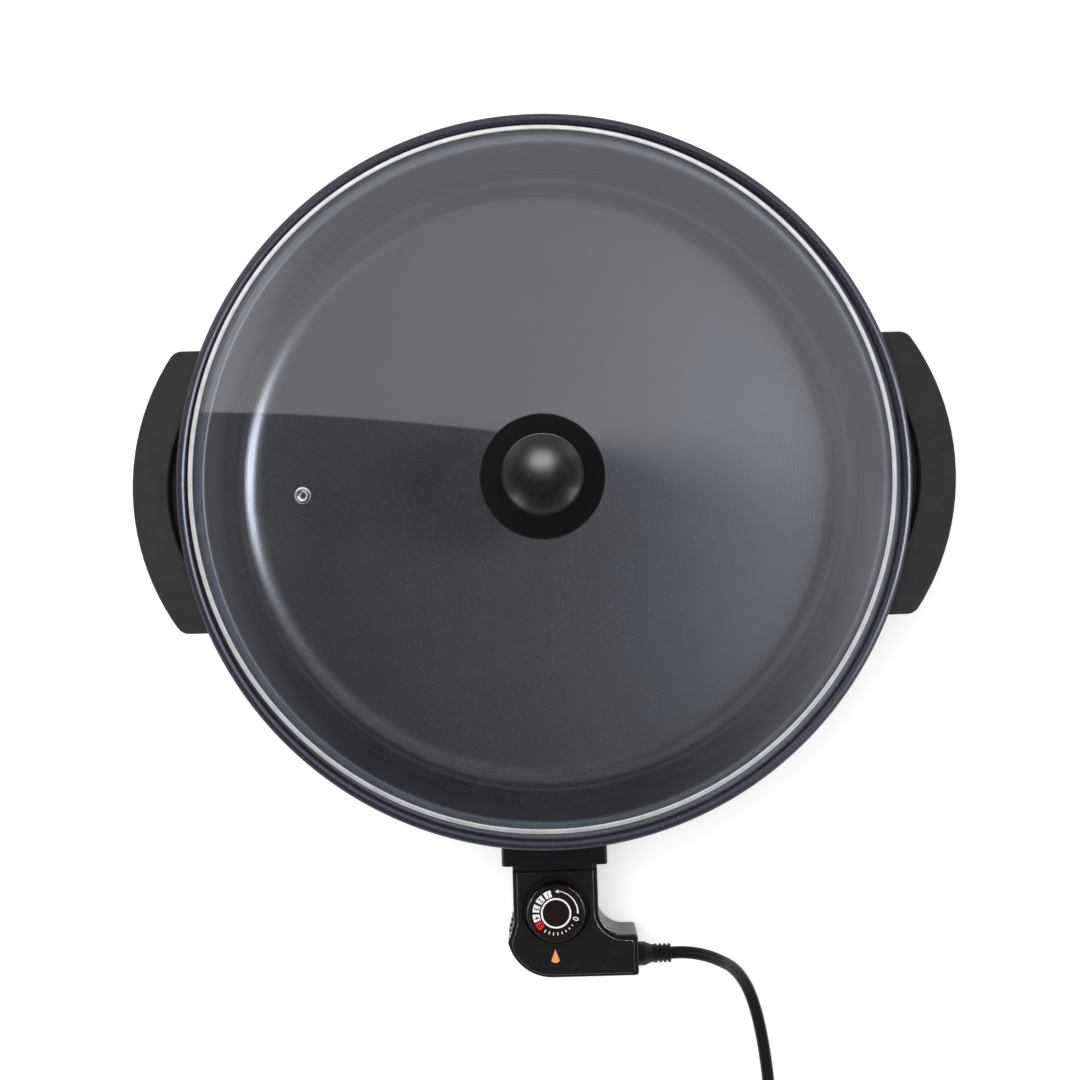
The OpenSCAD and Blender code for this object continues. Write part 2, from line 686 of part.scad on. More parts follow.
// ---- control housing ----
// the outline seen from above, drawn inwards by i
function control_outline(i) = rounded([
    [-control_w / 2 + i, -i, 1.2], [control_w / 2 - i, -i, 1.2],
    [control_w / 2 - i, -arm_g - i, 16 + i], [arm_reach - i, -arm_g - i, 1.8],
    [arm_reach - i, -control_len + i, 1.8], [-control_w / 2 + 2.5 + 0.75 * i, -control_len + i, 27 - i],
    [-control_w / 2 - 3.8 + i, -arm_g - 3, 1.2], [-control_w / 2 + i, -arm_g + 9, 2]]);
module control_plan(i, z, h) { in_control(0, 0, z) linear_extrude(h) polygon(control_outline(i)); }

// bores through the nose and the back wall for the probe and the sleeves
module nose_bores() {
    in_control(-nose_len - 1, 0, pin_z) rod(probe_d / 2 + fit_gap, nose_len + shell_t + 2);
    on_both_sides(pin_x) in_control(-nose_len - 1, 0, pin_z) rod(sleeve_r + fit_gap, nose_len + shell_t + 2);
}
// where the boot is held in the end of the arm
module boot_hole() {
    in_control(boot_g, arm_reach - shell_t - 1, pin_z) rotate([0, 90, 0])
        cylinder(r = boot_neck_r + fit_gap, h = shell_t + 2);
}

module control_base() {
    color([0.09, 0.09, 0.095]) difference() {
        union() {
            difference() {
                control_plan(0, control_bottom, control_base_h);
                control_plan(shell_t, control_bottom + shell_t, control_base_h);
            }
            difference() {
                in_control(-nose_len, 0, pin_z) bar(nose_w, nose_h, 2, nose_len + 1);
                in_control(-nose_len - 1, 0, pin_z) block(nose_w + 2, nose_len + 3, nose_h);
            }
            for (p = SCREW_SPOTS) in_control(p[1], p[0], control_bottom) {
                cylinder(r = screw_boss_r, h = control_base_h);
                cylinder(r = screw_foot_r, h = head_sink + head_h + 2);
            }
            // grip ribs on the left side
            for (k = [0:2])
                in_control(arm_g - 8 + 3.4 * k, -control_w / 2 - 0.4 - 0.9 * k, control_bottom + 3)
                    cylinder(r = 1.1, h = control_base_h - 3, $fn = 24);
        }
        nose_bores();
        boot_hole();
        for (p = SCREW_SPOTS) in_control(p[1], p[0], control_bottom - eps) {
            cylinder(r = screw_d / 2 + fit_gap, h = control_base_h + 2 * eps, $fn = 32);
            cylinder(r = screw_d + fit_gap, h = head_sink + head_h + eps, $fn = 32);
        }
    }
}

// a drop with a pointed back end and a round front end
function drop(w, length) = concat([[0, 0]], arc(0, -length + w * 0.62, w * 0.62, 180 + 36, 360 - 36, 10));

module control_cover() {
    color([0.09, 0.09, 0.095]) difference() {
        union() {
            difference() {
                union() {
                    control_plan(0, pin_z, control_cover_h - step_h);
                    control_plan(cover_step, pin_z + 1, control_cover_h - 1);
                }
                control_plan(shell_t, pin_z - 1, cover_room + 1);
            }
            difference() {
                in_control(-nose_len, 0, pin_z) bar(nose_w, nose_h, 2, nose_len + 1);
                in_control(-nose_len - 1, 0, pin_z - nose_h) block(nose_w + 2, nose_len + 3, nose_h);
            }
            for (p = SCREW_SPOTS) in_control(p[1], p[0], pin_z)
                cylinder(r = screw_boss_r, h = cover_room + 1);
        }
        nose_bores();
        boot_hole();
        for (p = SCREW_SPOTS) in_control(p[1], p[0], pin_z - 1)
            cylinder(r = screw_d / 2 + fit_gap, h = cover_room, $fn = 32);
        in_control(dial_g, 0, well_z) cylinder(d = well_d, h = well_depth + 1);
        in_control(dial_g, 0, pin_z) cylinder(r = spindle_r + run_gap, h = control_cover_h);
        in_control(lens_g - fit_gap, lens_x, pin_z) linear_extrude(control_cover_h + 1)
            polygon(drop(lens_w + 2 * fit_gap, lens_len + 2 * fit_gap));
    }
}

module cover_screws() {
    length = control_base_h - head_h - head_sink + cover_room - 3;
    color([0.7, 0.7, 0.7]) for (p = SCREW_SPOTS)
        in_control(p[1], p[0], control_bottom + head_sink + head_h) screw(screw_d, length);
}

// ---- inside the control ----
module probe_tube() {
    length = control_back + block_g + block_len - probe_end;
    color([0.78, 0.78, 0.8]) ahead(probe_end, 0, pin_z) {
        rod(probe_d / 2 - 1.2, 2, probe_d / 2);
        translate([0, -2, 0]) rod(probe_d / 2, length - 2);
    }
}

module contact_sleeves() {
    length = nose_len + block_g + block_len - 0.5;
    color([0.8, 0.68, 0.4]) on_both_sides(pin_x) in_control(-nose_len + 0.5, 0, pin_z) difference() {
        rod(sleeve_r, length);
        translate([0, 1, 0]) rod(pin_d / 2 + run_gap, nose_len);
    }
}

module terminal_block() {
    color([0.55, 0.3, 0.18]) difference() {
        in_control(block_g, 0, pin_z - 6) block(pin_pitch + 9, block_len, 12);
        in_control(block_g - 1, 0, pin_z) rod(probe_d / 2 + fit_gap, block_len + 2);
        on_both_sides(pin_x) in_control(block_g - 1, 0, pin_z) rod(sleeve_r + fit_gap, block_len + 2);
    }
}

module switch_frame() {
    low = control_bottom + shell_t;
    back = dial_g - 10;
    guide_len = 12;
    color([0.72, 0.72, 0.74]) difference() {
        union() {
            in_control(back, 0, frame_z) block(frame_w, frame_len, frame_t);
            on_both_sides(frame_w / 2 - frame_t / 2) in_control(back, 0, low)
                block(frame_t, frame_len, frame_z + frame_t - low);
            in_control(dial_g - guide_len / 2, 0, guide_z) block(frame_w, guide_len, frame_t);
        }
        in_control(dial_g, 0, frame_z - 1) cylinder(r = spindle_r + run_gap, h = frame_t + 2);
        in_control(dial_g, 0, guide_z - 1) cylinder(r = stud_r + run_gap, h = frame_t + 2);
    }
}

// a spring blade whose contact stands on it at the height contact_z
module blade(contact_z) {
    block(blade_w, blade_len, blade_t);
    translate([0, 4 - blade_len, contact_z]) cylinder(r = contact_r, h = contact_h, $fn = 32);
}

module fixed_blade() { color([0.8, 0.55, 0.3]) in_control(blade_back, 0, fixed_z) blade(blade_t); }

module moving_blade() { color([0.8, 0.55, 0.3]) in_control(blade_back, 0, moving_z) blade(-contact_h); }

// three insulators that hold the two blades at their back ends
module blade_mount() {
    low = control_bottom + shell_t;
    moving_top = moving_z + blade_t;
    LEVELS = [[low, fixed_z], [fixed_z + blade_t, moving_z], [moving_top, moving_top + 1.6]];
    color([0.85, 0.82, 0.74]) for (level = LEVELS)
        in_control(blade_back, 0, level[0]) block(blade_w + 4, 5, level[1] - level[0]);
}

module adjuster_stud() {
    color([0.92, 0.9, 0.85]) in_control(dial_g, 0, stud_top - stud_len) cylinder(r = stud_r, h = stud_len);
}

module dial_spindle() {
    color([0.75, 0.75, 0.76]) in_control(dial_g) difference() {
        translate([0, 0, spindle_bottom]) cylinder(r = spindle_r, h = spindle_top - spindle_bottom);
        translate([0, 0, clip_z - fit_gap]) difference() {
            cylinder(r = spindle_r + 1, h = clip_t + 2 * fit_gap);
            translate([0, 0, -1]) cylinder(r = spindle_r - 0.6, h = clip_t + 3);
        }
    }
}

module spindle_clip() {
    color([0.6, 0.6, 0.62]) in_control(dial_g, 0, clip_z) difference() {
        cylinder(r = spindle_r + 1.6, h = clip_t);
        translate([0, 0, -1]) cylinder(r = spindle_r - 0.6 + run_gap, h = clip_t + 2);
    }
}

module dial_knob() {
    r = dial_d / 2;
    hole_r = spindle_r + fit_gap;
    hub_r = hole_r + 2.4;
    wall = 1.8;
    edge = 0.7; // rounding of the top edge
    under = spindle_top + 0.6;
    seat_r = face_d / 2 + fit_gap;
    seat_z = dial_top - face_t - fit_gap;
    color([0.08, 0.08, 0.08]) in_control(dial_g) turned([
        [hole_r, dial_bottom], [hub_r, dial_bottom], [hub_r, under], [r - wall, under],
        [r - wall, dial_bottom], [r, dial_bottom], [r, dial_top - edge], [r - edge, dial_top],
        [seat_r, dial_top], [seat_r, seat_z], [0, seat_z], [0, spindle_top + fit_gap],
        [hole_r, spindle_top + fit_gap]]);
}

module dial_face() {
    color([0.16, 0.1, 0.09]) in_control(dial_g, 0, dial_top - face_t)
        cylinder(d = face_d, h = face_t - fit_gap);
}

module pilot_lamp() {
    z = pin_z + cover_room - lens_flange_t - part_gap - lamp_d / 2;
    color([0.95, 0.6, 0.35]) in_control(lamp_g, lens_x - lamp_len / 2, z) rotate([0, 90, 0])
        cylinder(d = lamp_d, h = lamp_len);
}

module lamp_lens() {
    under = pin_z + cover_room;
    color([0.95, 0.55, 0.35]) {
        in_control(lens_g, lens_x, under) linear_extrude(control_top + 0.3 - under)
            polygon(drop(lens_w, lens_len));
        in_control(lens_g - lens_flange, lens_x, under - lens_flange_t) linear_extrude(lens_flange_t)
            polygon(drop(lens_w + 2 * lens_flange, lens_len + 2 * lens_flange));
    }
}

module cord_clamp() {
    low = control_bottom + shell_t;
    clamp_t = 5;
    clamp_w = 11;
    clamp_x = arm_reach - boot_inner - 6.5;
    color([0.8, 0.8, 0.78]) difference() {
        in_control(boot_g - clamp_w / 2, clamp_x, low) block(clamp_t, clamp_w, pin_z + 3 - low);
        for (g = WIRE_G) in_control(g, clamp_x - clamp_t / 2 - 1, pin_z) rotate([0, 90, 0])
            cylinder(r = wire_r + fit_gap, h = clamp_t + 2, $fn = 32);
    }
}

// the two conductors, from the boot through the clamp to the ends of the sleeves
module lead_wires() {
    sleeve_end = block_g + block_len;
    color([0.85, 0.83, 0.78]) for (k = [0, 1]) let (x = k == 0 ? -pin_x : pin_x) {
        in_control(WIRE_G[k], x + wire_bend_r, pin_z) rotate([0, 90, 0])
            cylinder(r = wire_r, h = arm_reach - boot_inner - x - wire_bend_r, $fn = 32);
        in_control(WIRE_G[k] - wire_bend_r, x + wire_bend_r, pin_z) rotate([0, 0, 180])
            rotate_extrude(angle = 90) translate([wire_bend_r, 0]) circle(r = wire_r, $fn = 32);
        in_control(sleeve_end, x, pin_z) rod(wire_r, WIRE_G[k] - wire_bend_r - sleeve_end);
    }
}

// ---- cord and what is on it ----
module cord_boot() {
    r = boot_d / 2;
    end_r = boot_end_d / 2;
    length = boot_len + boot_inner;
    lip_r = boot_neck_r + 1.6;
    lip_t = boot_inner - shell_t - 0.3;
    slot = 1.1;
    slot_r = end_r - 1.3;
    color([0.07, 0.07, 0.07]) in_control(boot_g, arm_reach - boot_inner, pin_z) rotate([0, 90, 0])
        turned(concat(
            [[0, 0], [lip_r, 0], [lip_r, lip_t], [boot_neck_r, lip_t], [boot_neck_r, boot_inner],
                [r, boot_inner], [r, 11], [end_r + 0.2, 13.6]],
            [for (k = [0:2]) each let (at = length - 8.4 + 2.7 * k)
                [[end_r, at], [slot_r, at], [slot_r, at + slot], [end_r, at + slot]]],
            [[end_r, length], [0, length]]), 48);
}

module cord_free() {
    color([0.06, 0.06, 0.06]) tube([for (p = ROUTE) placed(p)], CORD_SIDES);
}

// the coil winds in on the table for one layer, climbs at its middle, and winds out on top of itself
coil_half = coil_turns / 2;
function coil_r(t) = coil_out_r - turn_step * min(t, coil_turns - t);
function coil_climb(t) = min(1, max(0, (t - coil_half) * 2 + 0.5));
COIL = concat(
    [coil_start],
    [for (k = [0:coil_turns * LOOP_RINGS]) let (t = k / LOOP_RINGS)
        [coil_x + coil_r(t) * cos(360 * t), coil_f + coil_r(t) * sin(360 * t),
            coil_z + layer_step * coil_climb(t)]],
    [for (k = [1:3]) [coil_x - lead_out * k / 3, coil_f + coil_out_r, coil_z + layer_step]]);
module cord_coil() {
    color([0.06, 0.06, 0.06]) tube([for (p = COIL) placed(p)], LOOP_SIDES);
}
// least gap between the rings of the coil that lie more than a third of a turn apart
coil_rings = rings_of([for (p = COIL) placed(p)], LOOP_SIDES);
coil_gap = min([for (i = [0:len(COIL) - 1], j = [i + 8:1:len(COIL) - 1])
    if (norm(COIL[i] - COIL[j]) < 2 * turn_step)
        min([for (a = coil_rings[i], b = coil_rings[j]) norm(a - b)])]);
echo(coil_gap = coil_gap);
function length_of(p) = [for (i = [1:len(p) - 1]) norm(p[i] - p[i - 1])] * [for (i = [1:len(p) - 1]) 1];
echo(cord_length = length_of(ROUTE) + length_of(COIL));

// a strap round the bundle, half a turn from the coil's start
module coil_tie() {
    t = coil_half - 0.125;
    in_r = coil_r(t) - cord_w / 2 - 1;
    out_r = coil_out_r - turn_step / 2 + cord_w / 2 + 0.8;
    low = coil_z - on_tie;
    high = coil_z + layer_step + cord_t / 2 + 0.3;
    color([0.12, 0.12, 0.12]) ahead(coil_f, coil_x - out_r, low) translate([0, -tie_w / 2, 0]) difference() {
        translate([-tie_t, 0, 0]) cube([out_r - in_r + 2 * tie_t, tie_w, high - low + tie_t]);
        translate([0, -1, tie_t]) cube([out_r - in_r, tie_w + 2, high - low - tie_t]);
    }
}

module plug_body() {
    relief_r = 5;
    color([0.07, 0.07, 0.07]) ahead(coil_f + coil_out_r, plug_x, plug_z) {
        translate([-relief_len - plug_len, 0, 0]) rotate([0, 90, 0]) rotate([0, 0, 90])
            linear_extrude(plug_len) polygon(pane(plug_w, 2 * plug_z, 3));
        rotate([0, -90, 0]) cylinder(r1 = relief_r - 0.8, r2 = relief_r + 1, h = relief_len);
    }
}

module plug_blades() {
    color([0.8, 0.7, 0.45]) for (side = [-1, 1])
        ahead(coil_f + coil_out_r + side * blade_pitch / 2, plug_x - relief_len - plug_len, plug_z)
            translate([-blade_reach / 2, 0, 0]) cube([blade_reach, 1.5, 6.35], center = true);
}

pan();
heating_element();
terminal_pins();
terminal_bushes();
probe_socket();
socket_guard();
guard_screws();
handle_left();
handle_right();
handle_screws();
foot_pads();
lid_glass();
lid_band();
vent_eyelet();
knob_skirt();
knob_grip();
knob_insert();
knob_screw();
knob_washer();
knob_gasket();
control_base();
control_cover();
cover_screws();
probe_tube();
contact_sleeves();
terminal_block();
switch_frame();
fixed_blade();
moving_blade();
blade_mount();
adjuster_stud();
dial_knob();
dial_face();
dial_spindle();
spindle_clip();
pilot_lamp();
lamp_lens();
cord_clamp();
lead_wires();
cord_boot();
cord_free();
cord_coil();
coil_tie();
plug_body();
plug_blades();
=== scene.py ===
# Round electric skillet with a lift-off glass lid, a plug-in thermostat control and a mains lead.
import bpy
import bmesh
import json
import math
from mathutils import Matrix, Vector

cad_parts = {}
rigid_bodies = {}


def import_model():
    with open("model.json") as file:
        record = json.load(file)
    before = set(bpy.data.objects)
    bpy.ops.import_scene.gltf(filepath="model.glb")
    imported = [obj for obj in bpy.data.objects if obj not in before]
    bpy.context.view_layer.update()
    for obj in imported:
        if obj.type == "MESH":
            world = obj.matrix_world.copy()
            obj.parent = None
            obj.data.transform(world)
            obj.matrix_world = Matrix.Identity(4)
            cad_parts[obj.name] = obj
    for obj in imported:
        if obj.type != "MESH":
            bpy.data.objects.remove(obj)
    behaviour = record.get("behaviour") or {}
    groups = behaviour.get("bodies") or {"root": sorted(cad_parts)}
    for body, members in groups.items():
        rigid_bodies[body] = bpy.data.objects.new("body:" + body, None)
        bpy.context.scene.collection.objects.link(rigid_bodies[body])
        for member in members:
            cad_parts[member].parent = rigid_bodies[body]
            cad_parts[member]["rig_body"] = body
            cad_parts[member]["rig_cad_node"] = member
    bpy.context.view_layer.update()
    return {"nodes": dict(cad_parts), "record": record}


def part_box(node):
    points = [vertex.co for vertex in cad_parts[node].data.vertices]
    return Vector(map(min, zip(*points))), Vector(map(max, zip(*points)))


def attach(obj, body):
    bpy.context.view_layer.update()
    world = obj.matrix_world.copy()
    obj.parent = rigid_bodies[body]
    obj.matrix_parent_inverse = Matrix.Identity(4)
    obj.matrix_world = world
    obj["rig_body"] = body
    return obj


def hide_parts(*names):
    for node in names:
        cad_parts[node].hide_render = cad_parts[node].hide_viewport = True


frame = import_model()
nodes = frame["nodes"]
scene = bpy.context.scene
mm = 0.001
mergeDistance = 0.002 * mm  # points nearer than this are one
smoothAngle = math.radians(35)  # sharper edges than this stay sharp
roundSteps = 288  # steps round the pan, the glass and the band

panLow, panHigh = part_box("pan")
panY = (panLow.y + panHigh.y) / 2  # the pan's axis is upright, at x = 0 and this y
rimR = (panHigh.x - panLow.x) / 2
rimTop = panHigh.z


def inFront(distance, x=0.0, z=0.0):
    return Vector((x, panY - distance, z))


# ---- camera, straight above the pan and a little in front of its axis ----
cameraValues = {"height": 0.848, "aside": -0.0033, "inFront": 0.0319, "roll": -1.6, "lens": 45.47}


def makeCamera(values):
    data = bpy.data.cameras.new("overhead")
    data.sensor_width = 36
    data.lens = values["lens"]
    data.clip_start = 0.01
    eye = bpy.data.objects.new("overhead", data)
    scene.collection.objects.link(eye)
    eye.location = inFront(values["inFront"], values["aside"], values["height"])
    eye.rotation_euler = (0, 0, math.radians(values["roll"]))
    scene.camera = eye


makeCamera(cameraValues)

# ---- shader helpers ----
def newMaterial(name, colour, roughness, metallic=0.0, ior=1.5):
    material = bpy.data.materials.new(name)
    material.use_nodes = True
    shader = material.node_tree.nodes["Principled BSDF"]
    shader.inputs["Base Color"].default_value = (*colour, 1)
    shader.inputs["Roughness"].default_value = roughness
    shader.inputs["Metallic"].default_value = metallic
    shader.inputs["IOR"].default_value = ior
    return material, shader


def addNode(material, kind, **settings):
    node = material.node_tree.nodes.new(kind)
    for key, value in settings.items():
        if hasattr(node, key):
            setattr(node, key, value)
        else:
            node.inputs[key].default_value = value
    return node


def wire(material, source, target):
    material.node_tree.links.new(source, target)


def objectPlace(material):
    return addNode(material, "ShaderNodeTexCoord").outputs["Object"]


def noiseAt(material, size, detail=3.0, roughness=0.6):
    noise = addNode(material, "ShaderNodeTexNoise", Scale=1 / size, Detail=detail, Roughness=roughness)
    wire(material, objectPlace(material), noise.inputs["Vector"])
    return noise.outputs["Fac"]


def ramp(material, source, stops):
    node = addNode(material, "ShaderNodeValToRGB")
    elements = node.color_ramp.elements
    while len(elements) < len(stops):
        elements.new(0.5)
    for element, (place, colour) in zip(elements, stops):
        element.position = place
        element.color = (*colour, 1)
    wire(material, source, node.inputs["Fac"])
    return node.outputs["Color"]


def grey(value):
    return (value, value, value)


def calc(material, operation, *inputs):
    # a sum on sockets and plain numbers
    node = addNode(material, "ShaderNodeMath", operation=operation)
    for socket, value in zip(node.inputs, inputs):
        if isinstance(value, (int, float)):
            socket.default_value = value
        else:
            wire(material, value, socket)
    return node.outputs[0]


def eased(material, source, start, end, low=0.0, high=1.0):
    # goes smoothly from low at start to high at end
    node = addNode(material, "ShaderNodeMapRange", interpolation_type="SMOOTHSTEP")
    for name, value in (("From Min", start), ("From Max", end), ("To Min", low), ("To Max", high)):
        node.inputs[name].default_value = value
    wire(material, source, node.inputs["Value"])
    return node.outputs["Result"]


def apart(material, vector):
    node = addNode(material, "ShaderNodeSeparateXYZ")
    wire(material, vector, node.inputs[0])
    return node.outputs


def bumpFrom(material, shader, height, strength, distance, under=None):
    bump = addNode(material, "ShaderNodeBump", Strength=strength, Distance=distance)
    wire(material, height, bump.inputs["Height"])
    if under:
        wire(material, under.outputs["Normal"], bump.inputs["Normal"])
    wire(material, bump.outputs["Normal"], shader.inputs["Normal"])
    return bump


# ---- materials ----
def panCoating():
    # dark satin non-stick coat with fine pale flecks, turned rings and a little orange peel;
    # the wall is painted lighter as a painted reflection, the ledge paler as painted light, the rolled rim
    # darker and the floor's edge glossier
    # painted light in the tones: the wall tone is a painted reflection, lighter than the floor, and the
    # ledge tone is painted light, paler and bluer
    values = {"base": (0.021, 0.022, 0.028), "wall": (0.034, 0.034, 0.042), "ledge": (0.085, 0.097, 0.125),
              "bead": (0.014, 0.014, 0.025), "fleck": (0.22, 0.22, 0.30), "fleckSize": 0.9 * mm,
              "cloudSize": 40 * mm, "ringSize": 1.9 * mm, "ringDepth": 0.05 * mm, "ringStrength": 0.10,
              "peelStrength": 0.05, "roughness": (0.37, 0.42), "floorGloss": 1.15, "cornerGloss": 0.55,
              "beadGloss": 0.85, "span": 64 * mm, "ringClimb": 0.45}
    material, shader = newMaterial("panCoating", values["base"], values["roughness"][0])
    x, y, z = apart(material, objectPlace(material))
    depth = calc(material, "DIVIDE", calc(material, "SUBTRACT", z, rimTop), values["span"])
    up = calc(material, "ADD", depth, 1)  # 0 just under the floor, 1 on top of the rolled rim
    # this ramp by height lays the painted reflection on the wall and the painted light on the ledge
    toneWithPaintedLight = ramp(material, up, [(0.10, values["base"]), (0.30, values["wall"]), (0.86, values["wall"]),
                               (0.90, values["ledge"]), (0.925, values["ledge"]), (0.95, values["bead"])])
    clouds = ramp(material, noiseAt(material, values["cloudSize"]), [(0.3, grey(0.85)), (0.7, grey(1.2))])
    clouded = addNode(material, "ShaderNodeMix", data_type="RGBA", blend_type="MULTIPLY", Factor=1.0)
    wire(material, toneWithPaintedLight, clouded.inputs[6])
    wire(material, clouds, clouded.inputs[7])
    cells = addNode(material, "ShaderNodeTexVoronoi", Scale=1 / values["fleckSize"])
    wire(material, objectPlace(material), cells.inputs["Vector"])
    dots = ramp(material, cells.outputs["Distance"], [(0.12, grey(1.0)), (0.24, grey(0.0))])
    chosen = ramp(material, cells.outputs["Color"], [(0.62, grey(0.0)), (0.72, grey(1.0))])
    mix = addNode(material, "ShaderNodeMix", data_type="RGBA")
    wire(material, calc(material, "MULTIPLY", dots, chosen), mix.inputs["Factor"])
    wire(material, clouded.outputs[2], mix.inputs[6])
    mix.inputs[7].default_value = (*values["fleck"], 1)
    wire(material, mix.outputs[2], shader.inputs["Base Color"])
    # rings left by the lathe, round the pan's axis and up its wall
    back = calc(material, "SUBTRACT", y, panY)
    across = calc(material, "SQRT", calc(material, "ADD", calc(material, "MULTIPLY", x, x),
                                         calc(material, "MULTIPLY", back, back)))
    along = calc(material, "ADD", across, calc(material, "MULTIPLY", z, values["ringClimb"]))
    wave = calc(material, "SINE", calc(material, "MULTIPLY", along, math.tau / values["ringSize"]))
    rings = bumpFrom(material, shader, calc(material, "ADD", wave, noiseAt(material, 6 * mm)),
                     values["ringStrength"], values["ringDepth"])
    bumpFrom(material, shader, noiseAt(material, 0.5 * mm), values["peelStrength"], 0.05 * mm, rings)
    low, high = values["roughness"]
    rough = ramp(material, noiseAt(material, 1.4 * mm), [(0.3, grey(low)), (0.7, grey(high))])
    lowGloss = eased(material, up, 0.06, 0.085, values["floorGloss"], values["cornerGloss"])
    wallGloss = eased(material, up, 0.20, 0.42, 1.0, 1 / values["cornerGloss"])
    gloss = calc(material, "MULTIPLY", calc(material, "MULTIPLY", lowGloss, wallGloss),
                 eased(material, up, 0.93, 0.95, 1.0, values["beadGloss"]))
    wire(material, calc(material, "MULTIPLY", rough, gloss), shader.inputs["Roughness"])
    return material


def mouldedPlastic(name, colour, roughness, grain=0.35 * mm, depth=0.02 * mm):
    # moulded plastic with a fine spark-eroded grain
    material, shader = newMaterial(name, colour, roughness)
    lighter = tuple(c * 1.3 + 0.0005 for c in colour)
    wire(material, ramp(material, noiseAt(material, 12 * mm), [(0.3, colour), (0.75, lighter)]),
         shader.inputs["Base Color"])
    bumpFrom(material, shader, noiseAt(material, grain, detail=2), 0.3, depth)
    uneven = [(0.3, grey(roughness - 0.05)), (0.7, grey(roughness + 0.06))]
    wire(material, ramp(material, noiseAt(material, 3 * mm), uneven), shader.inputs["Roughness"])
    return material


def metal(name, colour, roughness, grain=0.6 * mm, metallic=1.0):
    material, shader = newMaterial(name, colour, roughness, metallic)
    dull = tuple(c * 0.82 for c in colour)
    wire(material, ramp(material, noiseAt(material, 9 * mm), [(0.3, dull), (0.6, colour)]),
         shader.inputs["Base Color"])
    uneven = [(0.3, grey(roughness)), (0.7, grey(roughness + 0.1))]
    wire(material, ramp(material, noiseAt(material, grain), uneven), shader.inputs["Roughness"])
    return material


def clearGlass(name, tint, roughness=0.0):
    # lamps reach through the glass, because a shadow ray passes it straight
    material, shader = newMaterial(name, tint, roughness)
    shader.inputs["Transmission Weight"].default_value = 1.0
    darker = tuple(c * 0.99 for c in tint)
    wire(material, ramp(material, noiseAt(material, 60 * mm), [(0.3, tint), (0.7, darker)]),
         shader.inputs["Base Color"])
    path = addNode(material, "ShaderNodeLightPath")
    clear = addNode(material, "ShaderNodeBsdfTransparent")
    clear.inputs["Color"].default_value = (*tint, 1)
    mix = addNode(material, "ShaderNodeMixShader")
    wire(material, path.outputs["Is Shadow Ray"], mix.inputs[0])
    wire(material, shader.outputs[0], mix.inputs[1])
    wire(material, clear.outputs[0], mix.inputs[2])
    wire(material, mix.outputs[0], material.node_tree.nodes["Material Output"].inputs["Surface"])
    return material


def rubber(name, colour, roughness=0.5):
    return mouldedPlastic(name, colour, roughness, grain=0.8 * mm, depth=0.04 * mm)


finishes = {
    "nonstick": panCoating(),
    "sheath": metal("elementSheath", (0.20, 0.20, 0.21), 0.5),
    "pin_metal": metal("pinMetal", (0.66, 0.64, 0.58), 0.25),
    "ceramic": mouldedPlastic("ceramic", (0.72, 0.69, 0.62), 0.6),
    "socket_metal": metal("socketMetal", (0.45, 0.46, 0.48), 0.45),
    "shell_plastic": mouldedPlastic("shellPlastic", (0.009, 0.009, 0.010), 0.2, depth=0.01 * mm),
    "handle_plastic": mouldedPlastic("handlePlastic", (0.027, 0.027, 0.027), 0.5),
    "screw_steel": metal("screwSteel", (0.60, 0.60, 0.61), 0.3),
    "foot_rubber": rubber("footRubber", (0.020, 0.020, 0.020), 0.7),
    "lid_glass": clearGlass("lidGlass", (0.985, 0.99, 0.99)),
    "band_steel": metal("bandSteel", (0.74, 0.74, 0.73), 0.36, metallic=0.6),
    "eyelet_steel": metal("eyeletSteel", (0.66, 0.66, 0.68), 0.14),
    "knob_plastic": mouldedPlastic("knobPlastic", (0.0035, 0.0035, 0.0035), 0.34),
    "brass": metal("brass", (0.70, 0.50, 0.20), 0.3),
    "gasket_rubber": rubber("gasketRubber", (0.35, 0.10, 0.05), 0.6),
    "probe_steel": metal("probeSteel", (0.66, 0.66, 0.68), 0.22),
    "block_plastic": mouldedPlastic("blockPlastic", (0.16, 0.06, 0.03), 0.5),
    "frame_steel": metal("frameSteel", (0.58, 0.58, 0.60), 0.35),
    "blade_copper": metal("bladeCopper", (0.62, 0.34, 0.18), 0.3),
    "dial_plastic": mouldedPlastic("dialPlastic", (0.006, 0.006, 0.006), 0.22),
    "dial_print": mouldedPlastic("dialPrint", (0.013, 0.0055, 0.005), 0.34),
    "lens_amber": mouldedPlastic("lensAmber", (0.90, 0.30, 0.09), 0.3),
    "lamp_glass": clearGlass("lampGlass", (0.95, 0.60, 0.35)),
    "wire_cover": rubber("wireCover", (0.50, 0.48, 0.44)),
    "cord_rubber": rubber("cordRubber", (0.0055, 0.0055, 0.0055), 0.42),
    "tie_rubber": rubber("tieRubber", (0.015, 0.015, 0.015), 0.6),
}
slotOf = {row["node"]: row["material_slot"] for row in frame["record"]["subparts"]}
for nodeName, node in nodes.items():
    node.data.materials.clear()
    node.data.materials.append(finishes[slotOf[nodeName]])
    for face in node.data.polygons:
        face.material_index = 0
print("finishes ready")

# ---- how the pieces are shaped ----
def only(piece):
    # this piece alone is selected and active
    for other in bpy.context.selected_objects:
        other.select_set(False)
    piece.select_set(True)
    bpy.context.view_layer.objects.active = piece


def drawnLine(name, points):
    # a line drawn point by point, left open in edit mode
    bpy.ops.object.select_all(action="DESELECT")
    bpy.ops.mesh.primitive_plane_add(size=mm, location=(0, 0, 0))
    piece = bpy.context.object
    piece.name = name
    bpy.ops.object.mode_set(mode="EDIT")
    bpy.ops.mesh.merge(type="CENTER")
    bpy.ops.transform.translate(value=points[0])
    for start, end in zip(points, points[1:]):
        bpy.ops.mesh.extrude_region_move(TRANSFORM_OT_translate={"value": Vector(end) - Vector(start)})
    bpy.ops.mesh.select_all(action="SELECT")
    return piece


